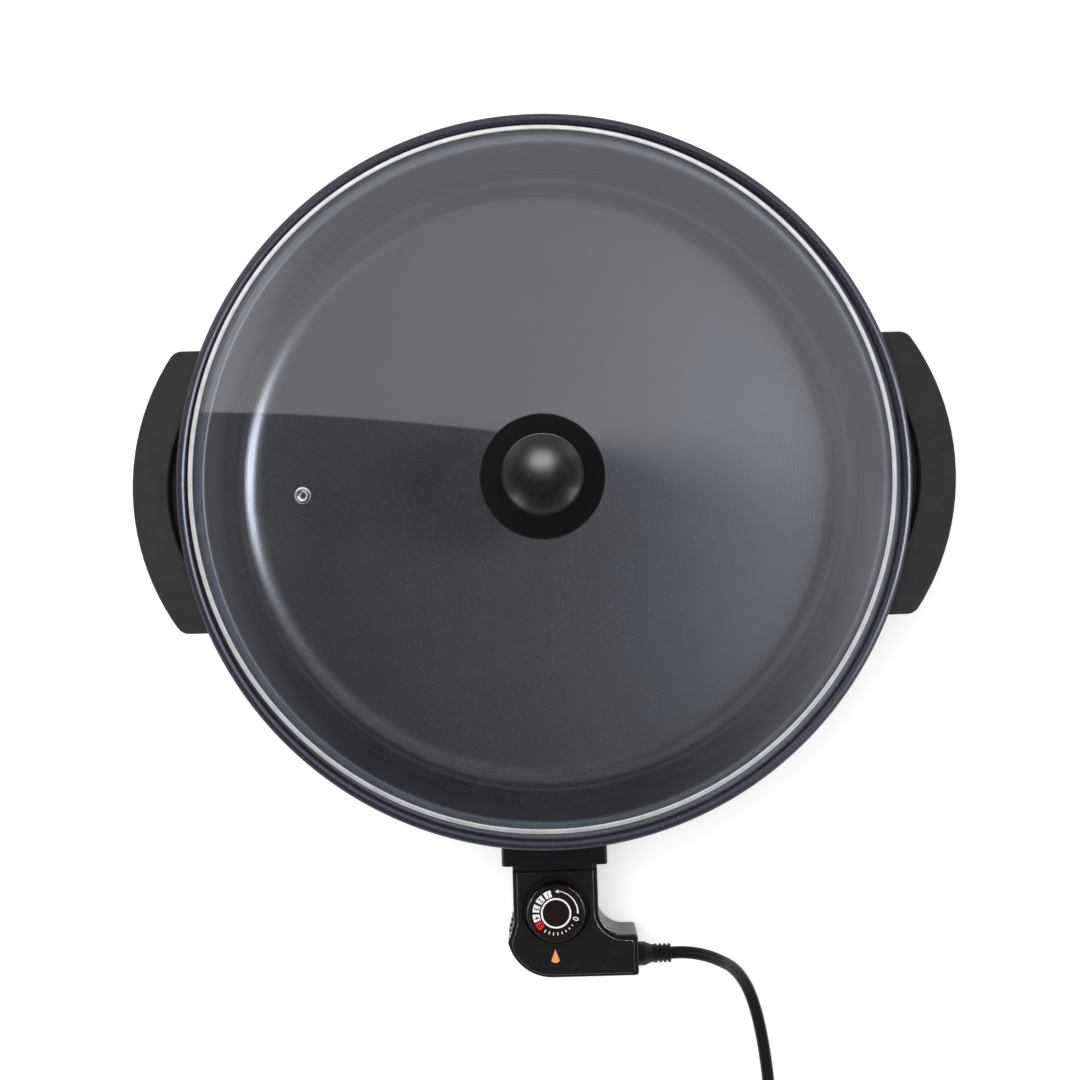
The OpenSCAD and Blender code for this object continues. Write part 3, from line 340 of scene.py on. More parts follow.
def closeUp(piece, smooth=smoothAngle):
    # joins what touches, turns the faces outwards and smooths all but the sharp edges
    bpy.ops.mesh.select_all(action="SELECT")
    bpy.ops.mesh.remove_doubles(threshold=mergeDistance)
    bpy.ops.mesh.normals_make_consistent(inside=False)
    bpy.ops.object.mode_set(mode="OBJECT")
    bpy.ops.object.shade_smooth_by_angle(angle=smooth)
    return piece


def spunPiece(name, profile, centre, steps):
    # a profile of (radius, height) turned about an upright axis
    points = [Vector((centre.x + across, centre.y, centre.z + up)) for across, up in profile]
    piece = drawnLine(name, points)
    bpy.ops.mesh.spin(steps=steps, angle=math.tau, center=centre, axis=(0, 0, 1))
    return closeUp(piece)


def rounded(corners, steps=4):
    # corners as (across, up, bend): a corner with a bend becomes an arc
    line = []
    for index, (across, up, bend) in enumerate(corners):
        corner = Vector((across, up))
        if bend == 0:
            line.append(corner)
            continue
        before = (Vector(corners[index - 1][:2]) - corner).normalized()
        after = (Vector(corners[(index + 1) % len(corners)][:2]) - corner).normalized()
        half = before.angle(after) / 2
        middle = corner + (before + after).normalized() * bend / math.sin(half)
        start = corner + before * bend / math.tan(half) - middle
        end = corner + after * bend / math.tan(half) - middle
        line += [middle + start.slerp(end, step / steps).normalized() * bend for step in range(steps + 1)]
    return line


def arc(across, up, radius, fromAngle, toAngle, steps):
    angles = [math.radians(fromAngle + (toAngle - fromAngle) * step / steps) for step in range(steps + 1)]
    return [Vector((across + radius * math.cos(a), up + radius * math.sin(a))) for a in angles]


def flatShape(name, outline, low, thickness):
    # a closed outline filled and drawn up to its thickness
    piece = drawnLine(name, [Vector((point[0], point[1], low)) for point in outline])
    bpy.ops.mesh.edge_face_add()
    bpy.ops.mesh.extrude_region_move(TRANSFORM_OT_translate={"value": (0, 0, thickness)})
    return closeUp(piece)


def joined(name, pieces):
    only(pieces[0])
    for piece in pieces:
        piece.select_set(True)
    bpy.ops.object.join()
    pieces[0].name = name
    return pieces[0]


def rimEdges(mesh, least, seam):
    # the sharp edges round the top and bottom faces, where they run on for at least this length
    rims = set()
    for edge in mesh.edges:
        if len(edge.link_faces) != 2 or not edge.is_convex or edge.calc_face_angle() < math.radians(40):
            continue
        ends = [vert.co.z for vert in edge.verts]
        level = abs(ends[0] - ends[1]) < 0.05 * mm and abs(ends[0] - seam) > 0.5 * mm
        if level and max(abs(face.normal.z) for face in edge.link_faces) > 0.9:
            rims.add(edge)
    chosen = []
    while rims:
        run, tips = [], [rims.pop()]
        while tips:
            edge = tips.pop()
            run.append(edge)
            near = {other for vert in edge.verts for other in vert.link_edges} & rims
            rims -= near
            tips += near
        if sum(edge.calc_length() for edge in run) > least:
            chosen += run
    return chosen


def softenedCopy(name, nodeName, width, segments=3, least=60 * mm, seam=-1.0):
    # a CAD node's own shape, with its triangles joined and its long rims rounded
    piece = nodes[nodeName].copy()
    piece.data = nodes[nodeName].data.copy()
    scene.collection.objects.link(piece)
    piece.name = name
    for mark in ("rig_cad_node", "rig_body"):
        if mark in piece:
            del piece[mark]
    piece.parent = None
    only(piece)
    bpy.ops.mesh.customdata_custom_splitnormals_clear()
    bpy.ops.object.mode_set(mode="EDIT")
    bpy.ops.mesh.select_all(action="SELECT")
    bpy.ops.mesh.remove_doubles(threshold=mergeDistance)
    bpy.ops.mesh.dissolve_limited(angle_limit=math.radians(1))
    mesh = bmesh.from_edit_mesh(piece.data)
    weight = mesh.edges.layers.float.new("bevel_weight_edge")
    for edge in rimEdges(mesh, least, seam):
        edge[weight] = 1.0
    bmesh.update_edit_mesh(piece.data)
    bpy.ops.object.mode_set(mode="OBJECT")
    bpy.ops.object.shade_smooth_by_angle(angle=smoothAngle)
    rim = piece.modifiers.new("rims", "BEVEL")
    rim.width = width
    rim.segments = segments
    rim.limit_method = "WEIGHT"
    rim.use_clamp_overlap = False
    rim.harden_normals = True
    bpy.ops.object.modifier_apply(modifier="rims")
    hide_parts(nodeName)
    return piece


def dressed(piece, slotName, body, *replaced):
    # gives a piece its finish and its body, and hides the nodes that it stands for
    piece.data.materials.clear()
    piece.data.materials.append(finishes[slotName])
    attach(piece, body)
    if replaced:
        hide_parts(*replaced)
    return piece


# ---- cord: straight out of the boot, down to the table, then wound up in a coil ----
cordValues = {
    "route": [
        (0.0683, 0.282, 0.028), (0.076, 0.282, 0.028), (0.084, 0.2832, 0.0273), (0.092, 0.286, 0.0249),
        (0.0994, 0.2903, 0.0205), (0.106, 0.2958, 0.0136), (0.1116, 0.3024, 0.008), (0.1162, 0.310, 0.0046),
        (0.1198, 0.3186, 0.0026), (0.1226, 0.3282, 0.0023), (0.1248, 0.3388, 0.0023),
        (0.1266, 0.350, 0.0023), (0.128, 0.362, 0.0023), (0.1291, 0.375, 0.0025), (0.1298, 0.389, 0.0029),
        (0.130, 0.404, 0.0031), (0.130, 0.420, 0.0031)],
    "width": 0.0074, "coreRadius": 0.0021, "turns": 3.25, "turnStep": 0.008, "layerStep": 0.005,
    "middleRadius": 0.038, "leadIn": 0.0074, "leadOut": 0.030, "length": 0.99}


def cordPath(values):
    # a smooth line through the route's points, then the coil, two layers deep
    route = [inFront(f, x, z) for x, f, z in values["route"]]
    padded = [2 * route[0] - route[1]] + route + [2 * route[-1] - route[-2]]
    path = []
    for a, b, c, d in zip(padded, padded[1:], padded[2:], padded[3:]):
        for part in range(4):
            t = part / 4
            path.append(0.5 * (2 * b + (c - a) * t + (2 * a - 5 * b + 4 * c - d) * t ** 2
                               + (3 * b - a - 3 * c + d) * t ** 3))
    path.append(route[-1])
    turns = values["turns"]
    ringsPerTurn = 48
    outer = values["middleRadius"] + values["turnStep"] * turns / 4
    startX, startF, startZ = values["route"][-1]
    coil = inFront(startF + values["leadIn"], startX - outer, startZ)
    for step in range(int(turns * ringsPerTurn) + 1):
        t = step / ringsPerTurn
        radius = outer - values["turnStep"] * min(t, turns - t)
        climb = min(1, max(0, (t - turns / 2) * 2 + 0.5))
        angle = math.tau * t
        path.append(coil + Vector((radius * math.cos(angle), -radius * math.sin(angle),
                                   values["layerStep"] * climb)))
    for step in (1, 2, 3):
        path.append(coil + Vector((-values["leadOut"] * step / 3, -outer, values["layerStep"])))
    return path


def makeCord(values):
    path = cordPath(values)
    core = values["coreRadius"]
    aside = values["width"] / 2 - core  # how far each of the two cores lies from the middle
    groove = math.degrees(math.acos(aside / core))
    section = (arc(aside, 0, core, groove - 180, 180 - groove, 10)
               + arc(-aside, 0, core, groove, 360 - groove, 10))
    shape = bpy.data.curves.new("cordSection", "CURVE")
    shape.dimensions = "2D"
    outline = shape.splines.new("POLY")
    outline.points.add(len(section) - 1)
    for point, place in zip(outline.points, section):
        point.co = (place.x, place.y, 0, 1)
    outline.use_cyclic_u = True
    sectionPiece = bpy.data.objects.new("cordSection", shape)
    scene.collection.objects.link(sectionPiece)
    line = bpy.data.curves.new("cord", "CURVE")
    line.dimensions = "3D"
    line.twist_mode = "Z_UP"
    line.bevel_mode = "OBJECT"
    line.bevel_object = sectionPiece
    line.use_fill_caps = True
    run = line.splines.new("POLY")
    run.points.add(len(path) - 1)
    for point, place in zip(run.points, path):
        point.co = (*place, 1)
    cord = bpy.data.objects.new("cord", line)
    scene.collection.objects.link(cord)
    only(cord)
    bpy.ops.object.convert(target="MESH")
    cord = bpy.context.object
    bpy.data.objects.remove(sectionPiece)
    bpy.ops.object.mode_set(mode="EDIT")
    closeUp(cord, math.radians(60))
    return dressed(cord, "cord_rubber", "control", "cord_free", "cord_coil"), path


def makeBoot():
    values = {"start": 43.5, "inFront": 282.0, "height": 28.0, "body": 7.0, "neck": 5.1, "block": 5.5,
              "length": 24.8, "slot": 1.1, "slotStep": 2.7, "slotDepth": 0.9, "slotStart": 16.6, "slots": 3,
              "flange": 6.6, "flangeThick": 2.3, "groove": 5, "grooveEnd": 4.8, "cordEnd": 3.2}
    flange, groove = values["flange"], values["groove"]
    corners = [(0, 0, 0), (flange, 0, 0.3), (flange, values["flangeThick"], 0),
               (groove, values["flangeThick"], 0), (groove, values["grooveEnd"], 0),
               (values["body"], values["grooveEnd"], 0.6), (values["body"], 9.0, 2.0),
               (values["neck"], 13.6, 1.2), (values["block"], 14.9, 0.5)]
    for slot in range(values["slots"]):
        low = values["slotStart"] + values["slotStep"] * slot
        for across, up in ((values["block"], low), (values["block"] - values["slotDepth"], low),
                           (values["block"] - values["slotDepth"], low + values["slot"]),
                           (values["block"], low + values["slot"])):
            corners.append((across, up, 0.3))
    end = values["length"]
    corners += [(values["block"], end, 0.6), (values["cordEnd"], end, 0), (0, end, 0)]
    profile = [point * mm for point in rounded(corners, 3)]
    boot = spunPiece("cordBoot", profile, Vector((0, 0, 0)), 48)
    boot.rotation_euler = (0, math.radians(90), 0)
    boot.location = inFront(values["inFront"] * mm, values["start"] * mm, values["height"] * mm)
    bpy.ops.object.transform_apply()
    return dressed(boot, "cord_rubber", "control", "cord_boot")


boot = makeBoot()
cordPiece, path = makeCord(cordValues)
plug = dressed(softenedCopy("plugBody", "plug_body", 0.8 * mm, least=20 * mm), "cord_rubber", "control")
strap = dressed(softenedCopy("coilTie", "coil_tie", 0.25 * mm, least=15 * mm), "tie_rubber", "control")
print("cord laid")

# ---- pan: a turned dish with a rolled rim, a ledge for the lid and cast lugs below ----
panValues = {
    "depth": 60, "wall": 3.4, "beadWidth": 6, "beadHeight": 9, "ledgeWidth": 8, "ledgeDrop": 5.5,
    "cornerRadius": 20, "lean": 7, "insideLean": 4, "ribRadius": 111, "ribWidth": 15, "ribDepth": 6,
    "grooveRadius": 3.6, "ribOpening": 30, "lugAt": (189.5, 67), "lugPast": 8, "lugSlant": 6,
    "lugLength": 18.5, "lugWidth": 16, "lugThick": 6, "lugBevel": 1, "lugTop": 75.4,
    "bossAt": 24, "bossRadius": 5, "bossBottom": 20, "bossInFront": 163}


def makeLug(values, sideX, sideY):
    # the cast ear that one of the handles' screws goes through, slanted on its inner side
    lugX, lugY = values["lugAt"]
    bpy.ops.object.select_all(action="DESELECT")
    inwards = (lugX + values["lugPast"] - values["lugLength"] / 2) * sideX
    place = (inwards * mm, panY + sideY * lugY * mm, (values["lugTop"] - values["lugThick"] / 2) * mm)
    bpy.ops.mesh.primitive_cube_add(size=1, location=place)
    lug = bpy.context.object
    bpy.ops.object.mode_set(mode="EDIT")
    size = (values["lugLength"] * mm, values["lugWidth"] * mm, values["lugThick"] * mm)
    bpy.ops.transform.resize(value=size)
    mesh = bmesh.from_edit_mesh(lug.data)
    for corner in mesh.verts:
        corner.select = corner.co.x * sideX < 0 and corner.co.y * sideY > 0
    mesh.select_flush_mode()
    bmesh.update_edit_mesh(lug.data)
    bpy.ops.transform.translate(value=(-sideX * values["lugSlant"] * mm, 0, 0))
    bpy.ops.mesh.select_all(action="SELECT")
    bpy.ops.mesh.bevel(offset=values["lugBevel"] * mm, segments=2, affect="EDGES")
    closeUp(lug)
    bpy.ops.object.transform_apply()
    return lug


def makePan(values):
    rim, top = rimR / mm, rimTop / mm
    floor = top - values["depth"]
    base = floor - values["wall"]
    lean = math.radians(values["lean"])
    ledgeOut = rim - values["beadWidth"]
    ledgeIn = ledgeOut - values["ledgeWidth"]
    ledge = top - values["ledgeDrop"]
    corner = floor + values["cornerRadius"]
    cornerEnd = corner - values["cornerRadius"] * math.sin(lean)
    floorR = ledgeIn - (ledge - cornerEnd) * math.tan(lean) - values["cornerRadius"] * math.cos(lean)
    outer = values["cornerRadius"] + values["wall"]
    beadLow = top - values["beadHeight"]
    wallOut = ledgeIn - (ledge - beadLow) * math.tan(lean) + values["wall"] / math.cos(lean)
    lip = values["beadWidth"] / 2
    outside = arc(floorR, corner, outer, -90, -values["lean"], 14)
    # the wall is a little steeper inside than outside, so it thickens towards the ledge
    inside = arc(floorR, corner, values["cornerRadius"], -values["insideLean"], -90, 16)
    ledgeEnd = inside[0].x + (ledge - inside[0].y) * math.tan(math.radians(values["insideLean"]))
    profile = ([Vector((0, base))] + outside
               + rounded([(outside[-1].x, outside[-1].y, 0), (wallOut, beadLow, 0.8), (rim, beadLow, 1.6),
                          (rim, top - lip, 0)], 4)[1:]
               + arc(rim - lip, top - lip, lip, 0, 180, 14)
               + rounded([(ledgeOut, top - lip, 0), (ledgeOut, ledge, 1.2), (ledgeEnd, ledge, 1.6),
                          (inside[0].x, inside[0].y, 0)], 5)[1:-1]
               + inside + [Vector((0, floor))])
    dish = spunPiece("pan", [point * mm for point in profile], Vector((0, panY, 0)), roundSteps)
    # the rib under the base is open at the front, where the element's two legs come out
    inner, outerRib = (values["ribRadius"] + side * values["ribWidth"] / 2 for side in (-1, 1))
    low = base - values["ribDepth"]
    groove = arc(values["ribRadius"], low, values["grooveRadius"], 180, 0, 10)
    rib = ([Vector((inner, base + 1)), Vector((inner, low))] + groove
           + [Vector((outerRib, low)), Vector((outerRib, base + 1)), Vector((inner, base + 1))])
    opening = values["ribOpening"] / 2
    line = drawnLine("panRib", [Vector((across * mm, panY, up * mm)) for across, up in rib])
    bpy.ops.mesh.remove_doubles(threshold=mergeDistance)
    bpy.ops.mesh.edge_face_add()
    bpy.ops.transform.rotate(value=math.radians(90 - opening), orient_axis="Z", center_override=(0, panY, 0))
    bpy.ops.mesh.spin(steps=144, angle=math.radians(360 - 2 * opening), center=(0, panY, 0), axis=(0, 0, 1))
    bpy.ops.mesh.select_all(action="SELECT")
    ribPiece = closeUp(line)
    parts = [dish, ribPiece] + [makeLug(values, sideX, sideY) for sideX in (-1, 1) for sideY in (-1, 1)]
    for side in (-1, 1):
        boss = [(0, values["bossBottom"]), (values["bossRadius"] - 0.6, values["bossBottom"]),
                (values["bossRadius"], values["bossBottom"] + 0.6), (values["bossRadius"], base + 1)]
        centre = inFront(values["bossInFront"] * mm, side * values["bossAt"] * mm)
        parts.append(spunPiece("panBoss", [Vector(point) * mm for point in boss], centre, 32))
    return joined("panDish", parts)


dressed(makePan(panValues), "nonstick", "skillet", "pan")
print("pan turned")

# ---- lid: domed glass in a steel band, with a vent and a knob ----
glassLow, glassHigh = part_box("lid_glass")
bandLow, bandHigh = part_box("lid_band")
lidCentre = Vector(((bandLow.x + bandHigh.x) / 2, (bandLow.y + bandHigh.y) / 2, 0))
lidValues = {
    "glassThick": 3.6, "rise": 33, "hole": 4, "ventAt": 129, "ventAngle": 182.6, "ventHole": 3.6,
    "bandWidth": 2.8, "bandSheet": 0.7, "bandLip": 1.3}


def makeGlass(values):
    edge = (glassHigh.x - glassLow.x) / 2 / mm
    low = glassLow.z / mm
    dome = (edge ** 2 + values["rise"] ** 2) / (2 * values["rise"])
    middle = low + values["rise"] - dome
    outer = dome + values["glassThick"]
    under = math.degrees(math.asin(edge / dome))
    over = math.degrees(math.asin(edge / outer))
    holeUnder = math.degrees(math.asin(values["hole"] / dome))
    holeOver = math.degrees(math.asin(values["hole"] / outer))
    profile = (arc(0, middle, dome, 90 - holeUnder, 90 - under, 44)
               + arc(0, middle, outer, 90 - over, 90 - holeOver, 44))
    profile.append(profile[0])
    glass = spunPiece("lidGlass", [point * mm for point in profile], lidCentre, roundSteps)
    # the hole that the eyelet's tube goes through
    tilt = math.asin(values["ventAt"] / outer)
    turn = math.radians(values["ventAngle"])
    bpy.ops.object.select_all(action="DESELECT")
    bpy.ops.mesh.primitive_cylinder_add(vertices=48, radius=values["ventHole"] * mm, depth=12 * mm)
    drill = bpy.context.object
    out = Vector((math.sin(tilt) * math.cos(turn), math.sin(tilt) * math.sin(turn), math.cos(tilt)))
    drill.rotation_euler = (0, tilt, turn)
    drill.location = lidCentre + Vector((0, 0, middle * mm)) + out * (dome + values["glassThick"] / 2) * mm
    only(glass)
    cut = glass.modifiers.new("vent", "BOOLEAN")
    cut.object = drill
    cut.operation = "DIFFERENCE"
    cut.solver = "EXACT"
    bpy.ops.object.modifier_apply(modifier="vent")
    bpy.data.objects.remove(drill)
    bpy.ops.object.shade_smooth_by_angle(angle=smoothAngle)
    dressed(glass, "lid_glass", "lid", "lid_glass")
    return tilt, turn, middle, dome


eyeletValues = {"bore": 1.2, "tube": 3.5, "underFlange": 3.9, "flange": 4.7, "low": -0.9, "seatGap": 0.1,
                "crown": 0.9}


def makeEyelet(values, tilt, turn, middle, dome):
    # turned flat, then tilted square to the dome
    thick = lidValues["glassThick"]
    bore, tube, under = values["bore"], values["tube"], values["underFlange"]
    flange, gap = values["flange"], values["seatGap"]
    corners = [(bore, values["low"], 0.2), (under, values["low"], 0.3), (under, -gap, 0), (tube, -gap, 0),
               (tube, thick + gap / 2, 0), (flange, thick + gap / 2, 0.15), (flange - 0.2, thick + 0.7, 0.4),
               (3.0, thick + values["crown"], 0.8), (1.9, thick + 0.3, 0.5), (bore, thick - 0.6, 0.3)]
    profile = [point * mm for point in rounded(corners, 4)]
    profile.append(profile[0])
    eyelet = spunPiece("ventEyelet", profile, Vector((0, 0, 0)), 64)
    out = Vector((math.sin(tilt) * math.cos(turn), math.sin(tilt) * math.sin(turn), math.cos(tilt)))
    eyelet.rotation_euler = (0, tilt, turn)
    eyelet.location = lidCentre + Vector((0, 0, middle * mm)) + out * dome * mm
    bpy.ops.object.transform_apply()
    return dressed(eyelet, "eyelet_steel", "lid", "vent_eyelet")


def makeBand(values):
    outer = (bandHigh.x - bandLow.x) / 2 / mm
    inner = outer - values["bandWidth"]
    low, top = bandLow.z / mm, bandHigh.z / mm
    sheet = values["bandSheet"]
    lip = outer - values["bandLip"]  # the band is crimped under the glass by a short lip
    corners = [(lip, low, 0.2), (outer, low, 0.6), (outer, top, 1.3), (inner, top, 0.6),
               (inner, top - sheet - 0.1, 0.15), (inner + sheet, top - sheet, 0.1),
               (outer - sheet, top - sheet, 0.3), (outer - sheet, low + sheet, 0.2), (lip, low + sheet, 0.2)]
    profile = [point * mm for point in rounded(corners, 5)]
    profile.append(profile[0])
    band = spunPiece("lidBand", profile, lidCentre, roundSteps)
    return dressed(band, "band_steel", "lid", "lid_band")


knobValues = {"skirtEdge": 33.3, "skirtHeight": 5, "neck": 12, "knob": 20.8, "height": 37, "crown": 7,
              "rimWidth": 0.55, "hole": 2.6, "insertRadius": 4.6, "insertHeight": 15}


def makeKnob(values, apex):
    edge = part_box("knob_skirt")[0].z / mm
    skirtTop = apex + values["skirtHeight"]
    rim = values["skirtEdge"]
    neck = values["neck"]
    skirt = rounded([
        (values["hole"], apex + 0.1, 0), (neck + 2, apex + 0.1, 0.5), (neck + 3, apex + 2, 1),
        (rim - 3, edge + 1.2, 0.5), (rim - 2, edge, 0.2), (rim, edge, 0.3), (rim, edge + 3.0, 1.1),
        (neck + 3, skirtTop, 6), (values["hole"], skirtTop, 0)], 5)
    skirt.append(skirt[0])
    skirtPiece = spunPiece("knobSkirt", [point * mm for point in skirt], lidCentre, 128)
    dressed(skirtPiece, "knob_plastic", "lid", "knob_skirt")
    top = apex + values["height"]
    shoulder = top - values["crown"]
    domeEdge = values["knob"] - values["rimWidth"]
    crown = (domeEdge ** 2 + values["crown"] ** 2) / (2 * values["crown"])
    reach = math.degrees(math.asin(domeEdge / crown))
    grip = (rounded([(values["insertRadius"], skirtTop, 0), (neck, skirtTop, 0.4),
                     (neck - 1, skirtTop + 6, 3), (neck + 3, shoulder - 8, 5),
                     (values["knob"], shoulder - 4.5, 3), (values["knob"], shoulder - 0.1, 0.45),
                     (domeEdge, shoulder, 0)], 5)
            + arc(0, top - crown, crown, 90 - reach, 90, 24)
            + [Vector((0, skirtTop + values["insertHeight"])),
               Vector((values["insertRadius"], skirtTop + values["insertHeight"])),
               Vector((values["insertRadius"], skirtTop))])
    gripPiece = spunPiece("knobGrip", [point * mm for point in grip], lidCentre, 128)
    dressed(gripPiece, "knob_plastic", "lid", "knob_grip")


ventTilt, ventTurn, domeMiddle, domeRadius = makeGlass(lidValues)
makeEyelet(eyeletValues, ventTilt, ventTurn, domeMiddle, domeRadius)
makeBand(lidValues)
makeKnob(knobValues, domeMiddle + domeRadius + lidValues["glassThick"])
print("lid made")

# ---- handles, guard and control: the CAD shapes with their moulded edges ----
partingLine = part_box("control_base")[1].z  # the two shells meet here and stay sharp
for nodeName, title, width, seam, body in (
        ("handle_left", "handleLeft", 1.2 * mm, -1.0, "skillet"),
        ("handle_right", "handleRight", 1.2 * mm, -1.0, "skillet"),
        ("socket_guard", "socketGuard", 0.7 * mm, -1.0, "skillet"),
        ("control_base", "controlBase", 0.9 * mm, partingLine, "control"),
        ("control_cover", "controlCover", 0.9 * mm, partingLine, "control")):
    dressed(softenedCopy(title, nodeName, width, seam=seam), slotOf[nodeName], body)
print("mouldings softened")

# ---- dial: a turned cap with a printed face ----
dialLow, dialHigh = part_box("dial_knob")
dialCentre = Vector(((dialLow.x + dialHigh.x) / 2, (dialLow.y + dialHigh.y) / 2, 0))
dialValues = {
    "bore": 3.1, "hub": 5.5, "wall": 1.8, "spindleDrop": 3.9, "underDrop": 3.4, "face": 15.6,
    "faceDrop": 0.7, "printLift": 0.02, "ring": (7.9, 8.9), "box": (9.8, 13.8), "boxHalf": 10.0,
    "boxAngles": (112.5, 139, 166, 192, 216), "digit": 3.1, "zeroAngle": -17, "zeroAt": 12.2,
    "arrow": (-2, 83), "arrowAt": 13.2, "ticks": (237, 322, 8), "tick": (11.2, 13.2), "tickHalf": 1.3,
    "tickShrink": 0.12, "digitAt": 11.8, "ink": 0.02}


def makeDial(values):
    edge = (dialHigh.x - dialLow.x) / 2 / mm
    low, top = dialLow.z / mm, dialHigh.z / mm
    under = top - values["underDrop"]
    cap = rounded([
        (values["bore"], low, 0.2), (values["hub"], low, 0.2), (values["hub"], under, 0.3),
        (edge - values["wall"], under, 0.3), (edge - values["wall"], low, 0.3),
        (edge, low, 0.3), (edge, top, 0.8), (values["face"], top, 0.2),
        (values["face"], top - values["faceDrop"], 0),
        (0, top - values["faceDrop"], 0), (0, top - values["spindleDrop"], 0),
        (values["bore"], top - values["spindleDrop"], 0)], 4)
    cap.append(cap[0])
    piece = spunPiece("dialKnob", [point * mm for point in cap], dialCentre, 96)
    return dressed(piece, "dial_plastic", "dial", "dial_knob")


def dialPoint(radius, angle):
    a = math.radians(angle)
    return dialCentre.xy + Vector((math.cos(a), math.sin(a))) * radius * mm


def sector(name, inner, outer, fromAngle, toAngle, low, steps=8):
    angles = [fromAngle + (toAngle - fromAngle) * step / steps for step in range(steps + 1)]
    outline = [dialPoint(outer, a) for a in angles] + [dialPoint(inner, a) for a in reversed(angles)]
    return flatShape(name, outline, low, dialValues["ink"] * mm)


def digit(name, text, size, radius, angle, low):
    bpy.ops.object.select_all(action="DESELECT")
    bpy.ops.object.text_add()
    piece = bpy.context.object
    piece.name = name
    piece.data.body = text
    piece.data.size = size * mm * 1.35
    piece.data.align_x = "CENTER"
    piece.data.align_y = "CENTER"
    piece.data.extrude = 0.01 * mm
    piece.data.offset = 0.06 * mm
    bpy.ops.object.convert(target="MESH")
    piece = bpy.context.object
    place = dialPoint(radius, angle)
    piece.location = (place.x, place.y, low + 0.01 * mm)
    piece.rotation_euler = (0, 0, math.radians(angle + 90))
    bpy.ops.object.transform_apply()
    return piece


def makeDialPrint(values):
    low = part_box("dial_face")[1].z + values["printLift"] * mm
    white, red = [], []
    ring = spunPiece("dialRing", [Vector((values["ring"][0], 0)) * mm, Vector((values["ring"][1], 0)) * mm],
                     Vector((dialCentre.x, dialCentre.y, low + values["ink"] * mm)), 72)
    white.append(ring)
    half = values["boxHalf"]
    for number, angle in enumerate(values["boxAngles"], 1):
        box = sector(f"box{number}", *values["box"], angle - half, angle + half, low)
        (red if number == 5 else white).append(box)
    fromAngle, toAngle = values["arrow"]
    at = values["arrowAt"]
    angles = [fromAngle + (toAngle - fromAngle) * step / 16 for step in range(17)]
    outline = [dialPoint(at, a) for a in angles]
    outline += [dialPoint(at + 0.9, toAngle), dialPoint(at - 0.6, toAngle + 8),
                dialPoint(at - 1.3, toAngle - 3)]
    outline += [dialPoint(at - 0.35 - 0.55 * step / 16, a) for step, a in enumerate(reversed(angles))]
    white.append(flatShape("arrow", outline, low, values["ink"] * mm))
    first, last, count = values["ticks"]
    tickIn, tickOut = values["tick"]
    tickHalf = values["tickHalf"]
    for step in range(count):
        angle = first + (last - first) * step / (count - 1)
        tickEnd = tickOut - values["tickShrink"] * step
        white.append(sector(f"tick{step}", tickIn, tickEnd, angle - tickHalf, angle + tickHalf, low, 1))
    white.append(digit("zero", "0", values["digit"] * 1.15, values["zeroAt"], values["zeroAngle"], low))
    dark = [digit(f"digit{number}", str(number), values["digit"], values["digitAt"], angle, low + 0.03 * mm)
            for number, angle in enumerate(values["boxAngles"], 1)]
    for name, group, finish in (("dialMarks", white, "whitePrint"), ("dialRed", red, "redPrint"),
                                ("dialDigits", dark, "darkPrint")):
        piece = joined(name, group) if len(group) > 1 else group[0]
        piece.name = name
        piece.data.materials.clear()
        piece.data.materials.append(prints[finish])
        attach(piece, "dial")


prints = {
    "whitePrint": mouldedPlastic("whitePrint", (0.82, 0.82, 0.82), 0.45),
    "redPrint": mouldedPlastic("redPrint", (0.80, 0.0, 0.002), 0.6),
    "darkPrint": mouldedPlastic("darkPrint", (0.02, 0.012, 0.01), 0.45)}
makeDial(dialValues)
makeDialPrint(dialValues)
dressed(softenedCopy("lampLens", "lamp_lens", 0.25 * mm, least=10 * mm), "lens_amber", "control")
print("dial printed")

# ---- floor, lamps and the light all round ----
controlShells = ("controlCover", "controlBase", "dialKnob")
studio = {
    "floorSize": 8.0, "floorColour": 0.80, "floorLift": 0.46, "floorGleam": 0.22,
    "softbox": {"on": ("panDish", "lidGlass", "lidBand", "ventEyelet"), "colour": (0.93, 0.94, 1.0),
                "reach": 3.6, "height": 2.0, "strength": 1.28, "left": 0.7, "edge": 0.3015,
                "slope": -0.162, "rightSide": 1.3, "rightAt": 2.3, "rightPower": 2.5, "leftSide": 0.35,
                "fade": (-0.2, 1.6, 0.02, 0.9), "leftRise": (-1.5, -2.3), "leftSideRise": (-1.2, -2.4)},
    "key": {"place": (-0.5, 0.5, 1.9), "size": (1.6, 1.6), "power": 22.0},
    # lamps that only gleam, by how far they stand from upright and in which direction
    "gleams": [
        {"name": "cornerGleam", "lean": 37, "turn": 0, "size": (0.42, 0.95), "power": 34.0,
         "colour": (0.78, 0.84, 1.0), "on": ("panDish",)},
        {"name": "knobGleam", "lean": 26, "turn": 90, "size": (1.1, 0.75), "power": 26.0,
         "on": ("knobGrip",)},
        *({"name": f"knob{place}", "lean": 68, "turn": turn, "size": (0.5, 0.5), "power": power,
           "on": ("knobGrip",)}
          for place, turn, power in (("FrontLeft", -137, 3.0), ("FrontRight", -32, 3.0),
                                     ("BackLeft", 138, 1.0), ("BackRight", 40, 1.0))),
        *({"name": f"control{place}", "lean": 55, "turn": turn, "size": (1, 1), "power": 34.0,
           "on": controlShells}
          for place, turn in (("Left", 180), ("Right", 0), ("Back", 90), ("Corner", 45)))],
    "gleamDistance": 1.5, "world": 0.68, "horizon": 0.8, "overhead": 0.08, "horizonRise": (0.30, 0.60)}


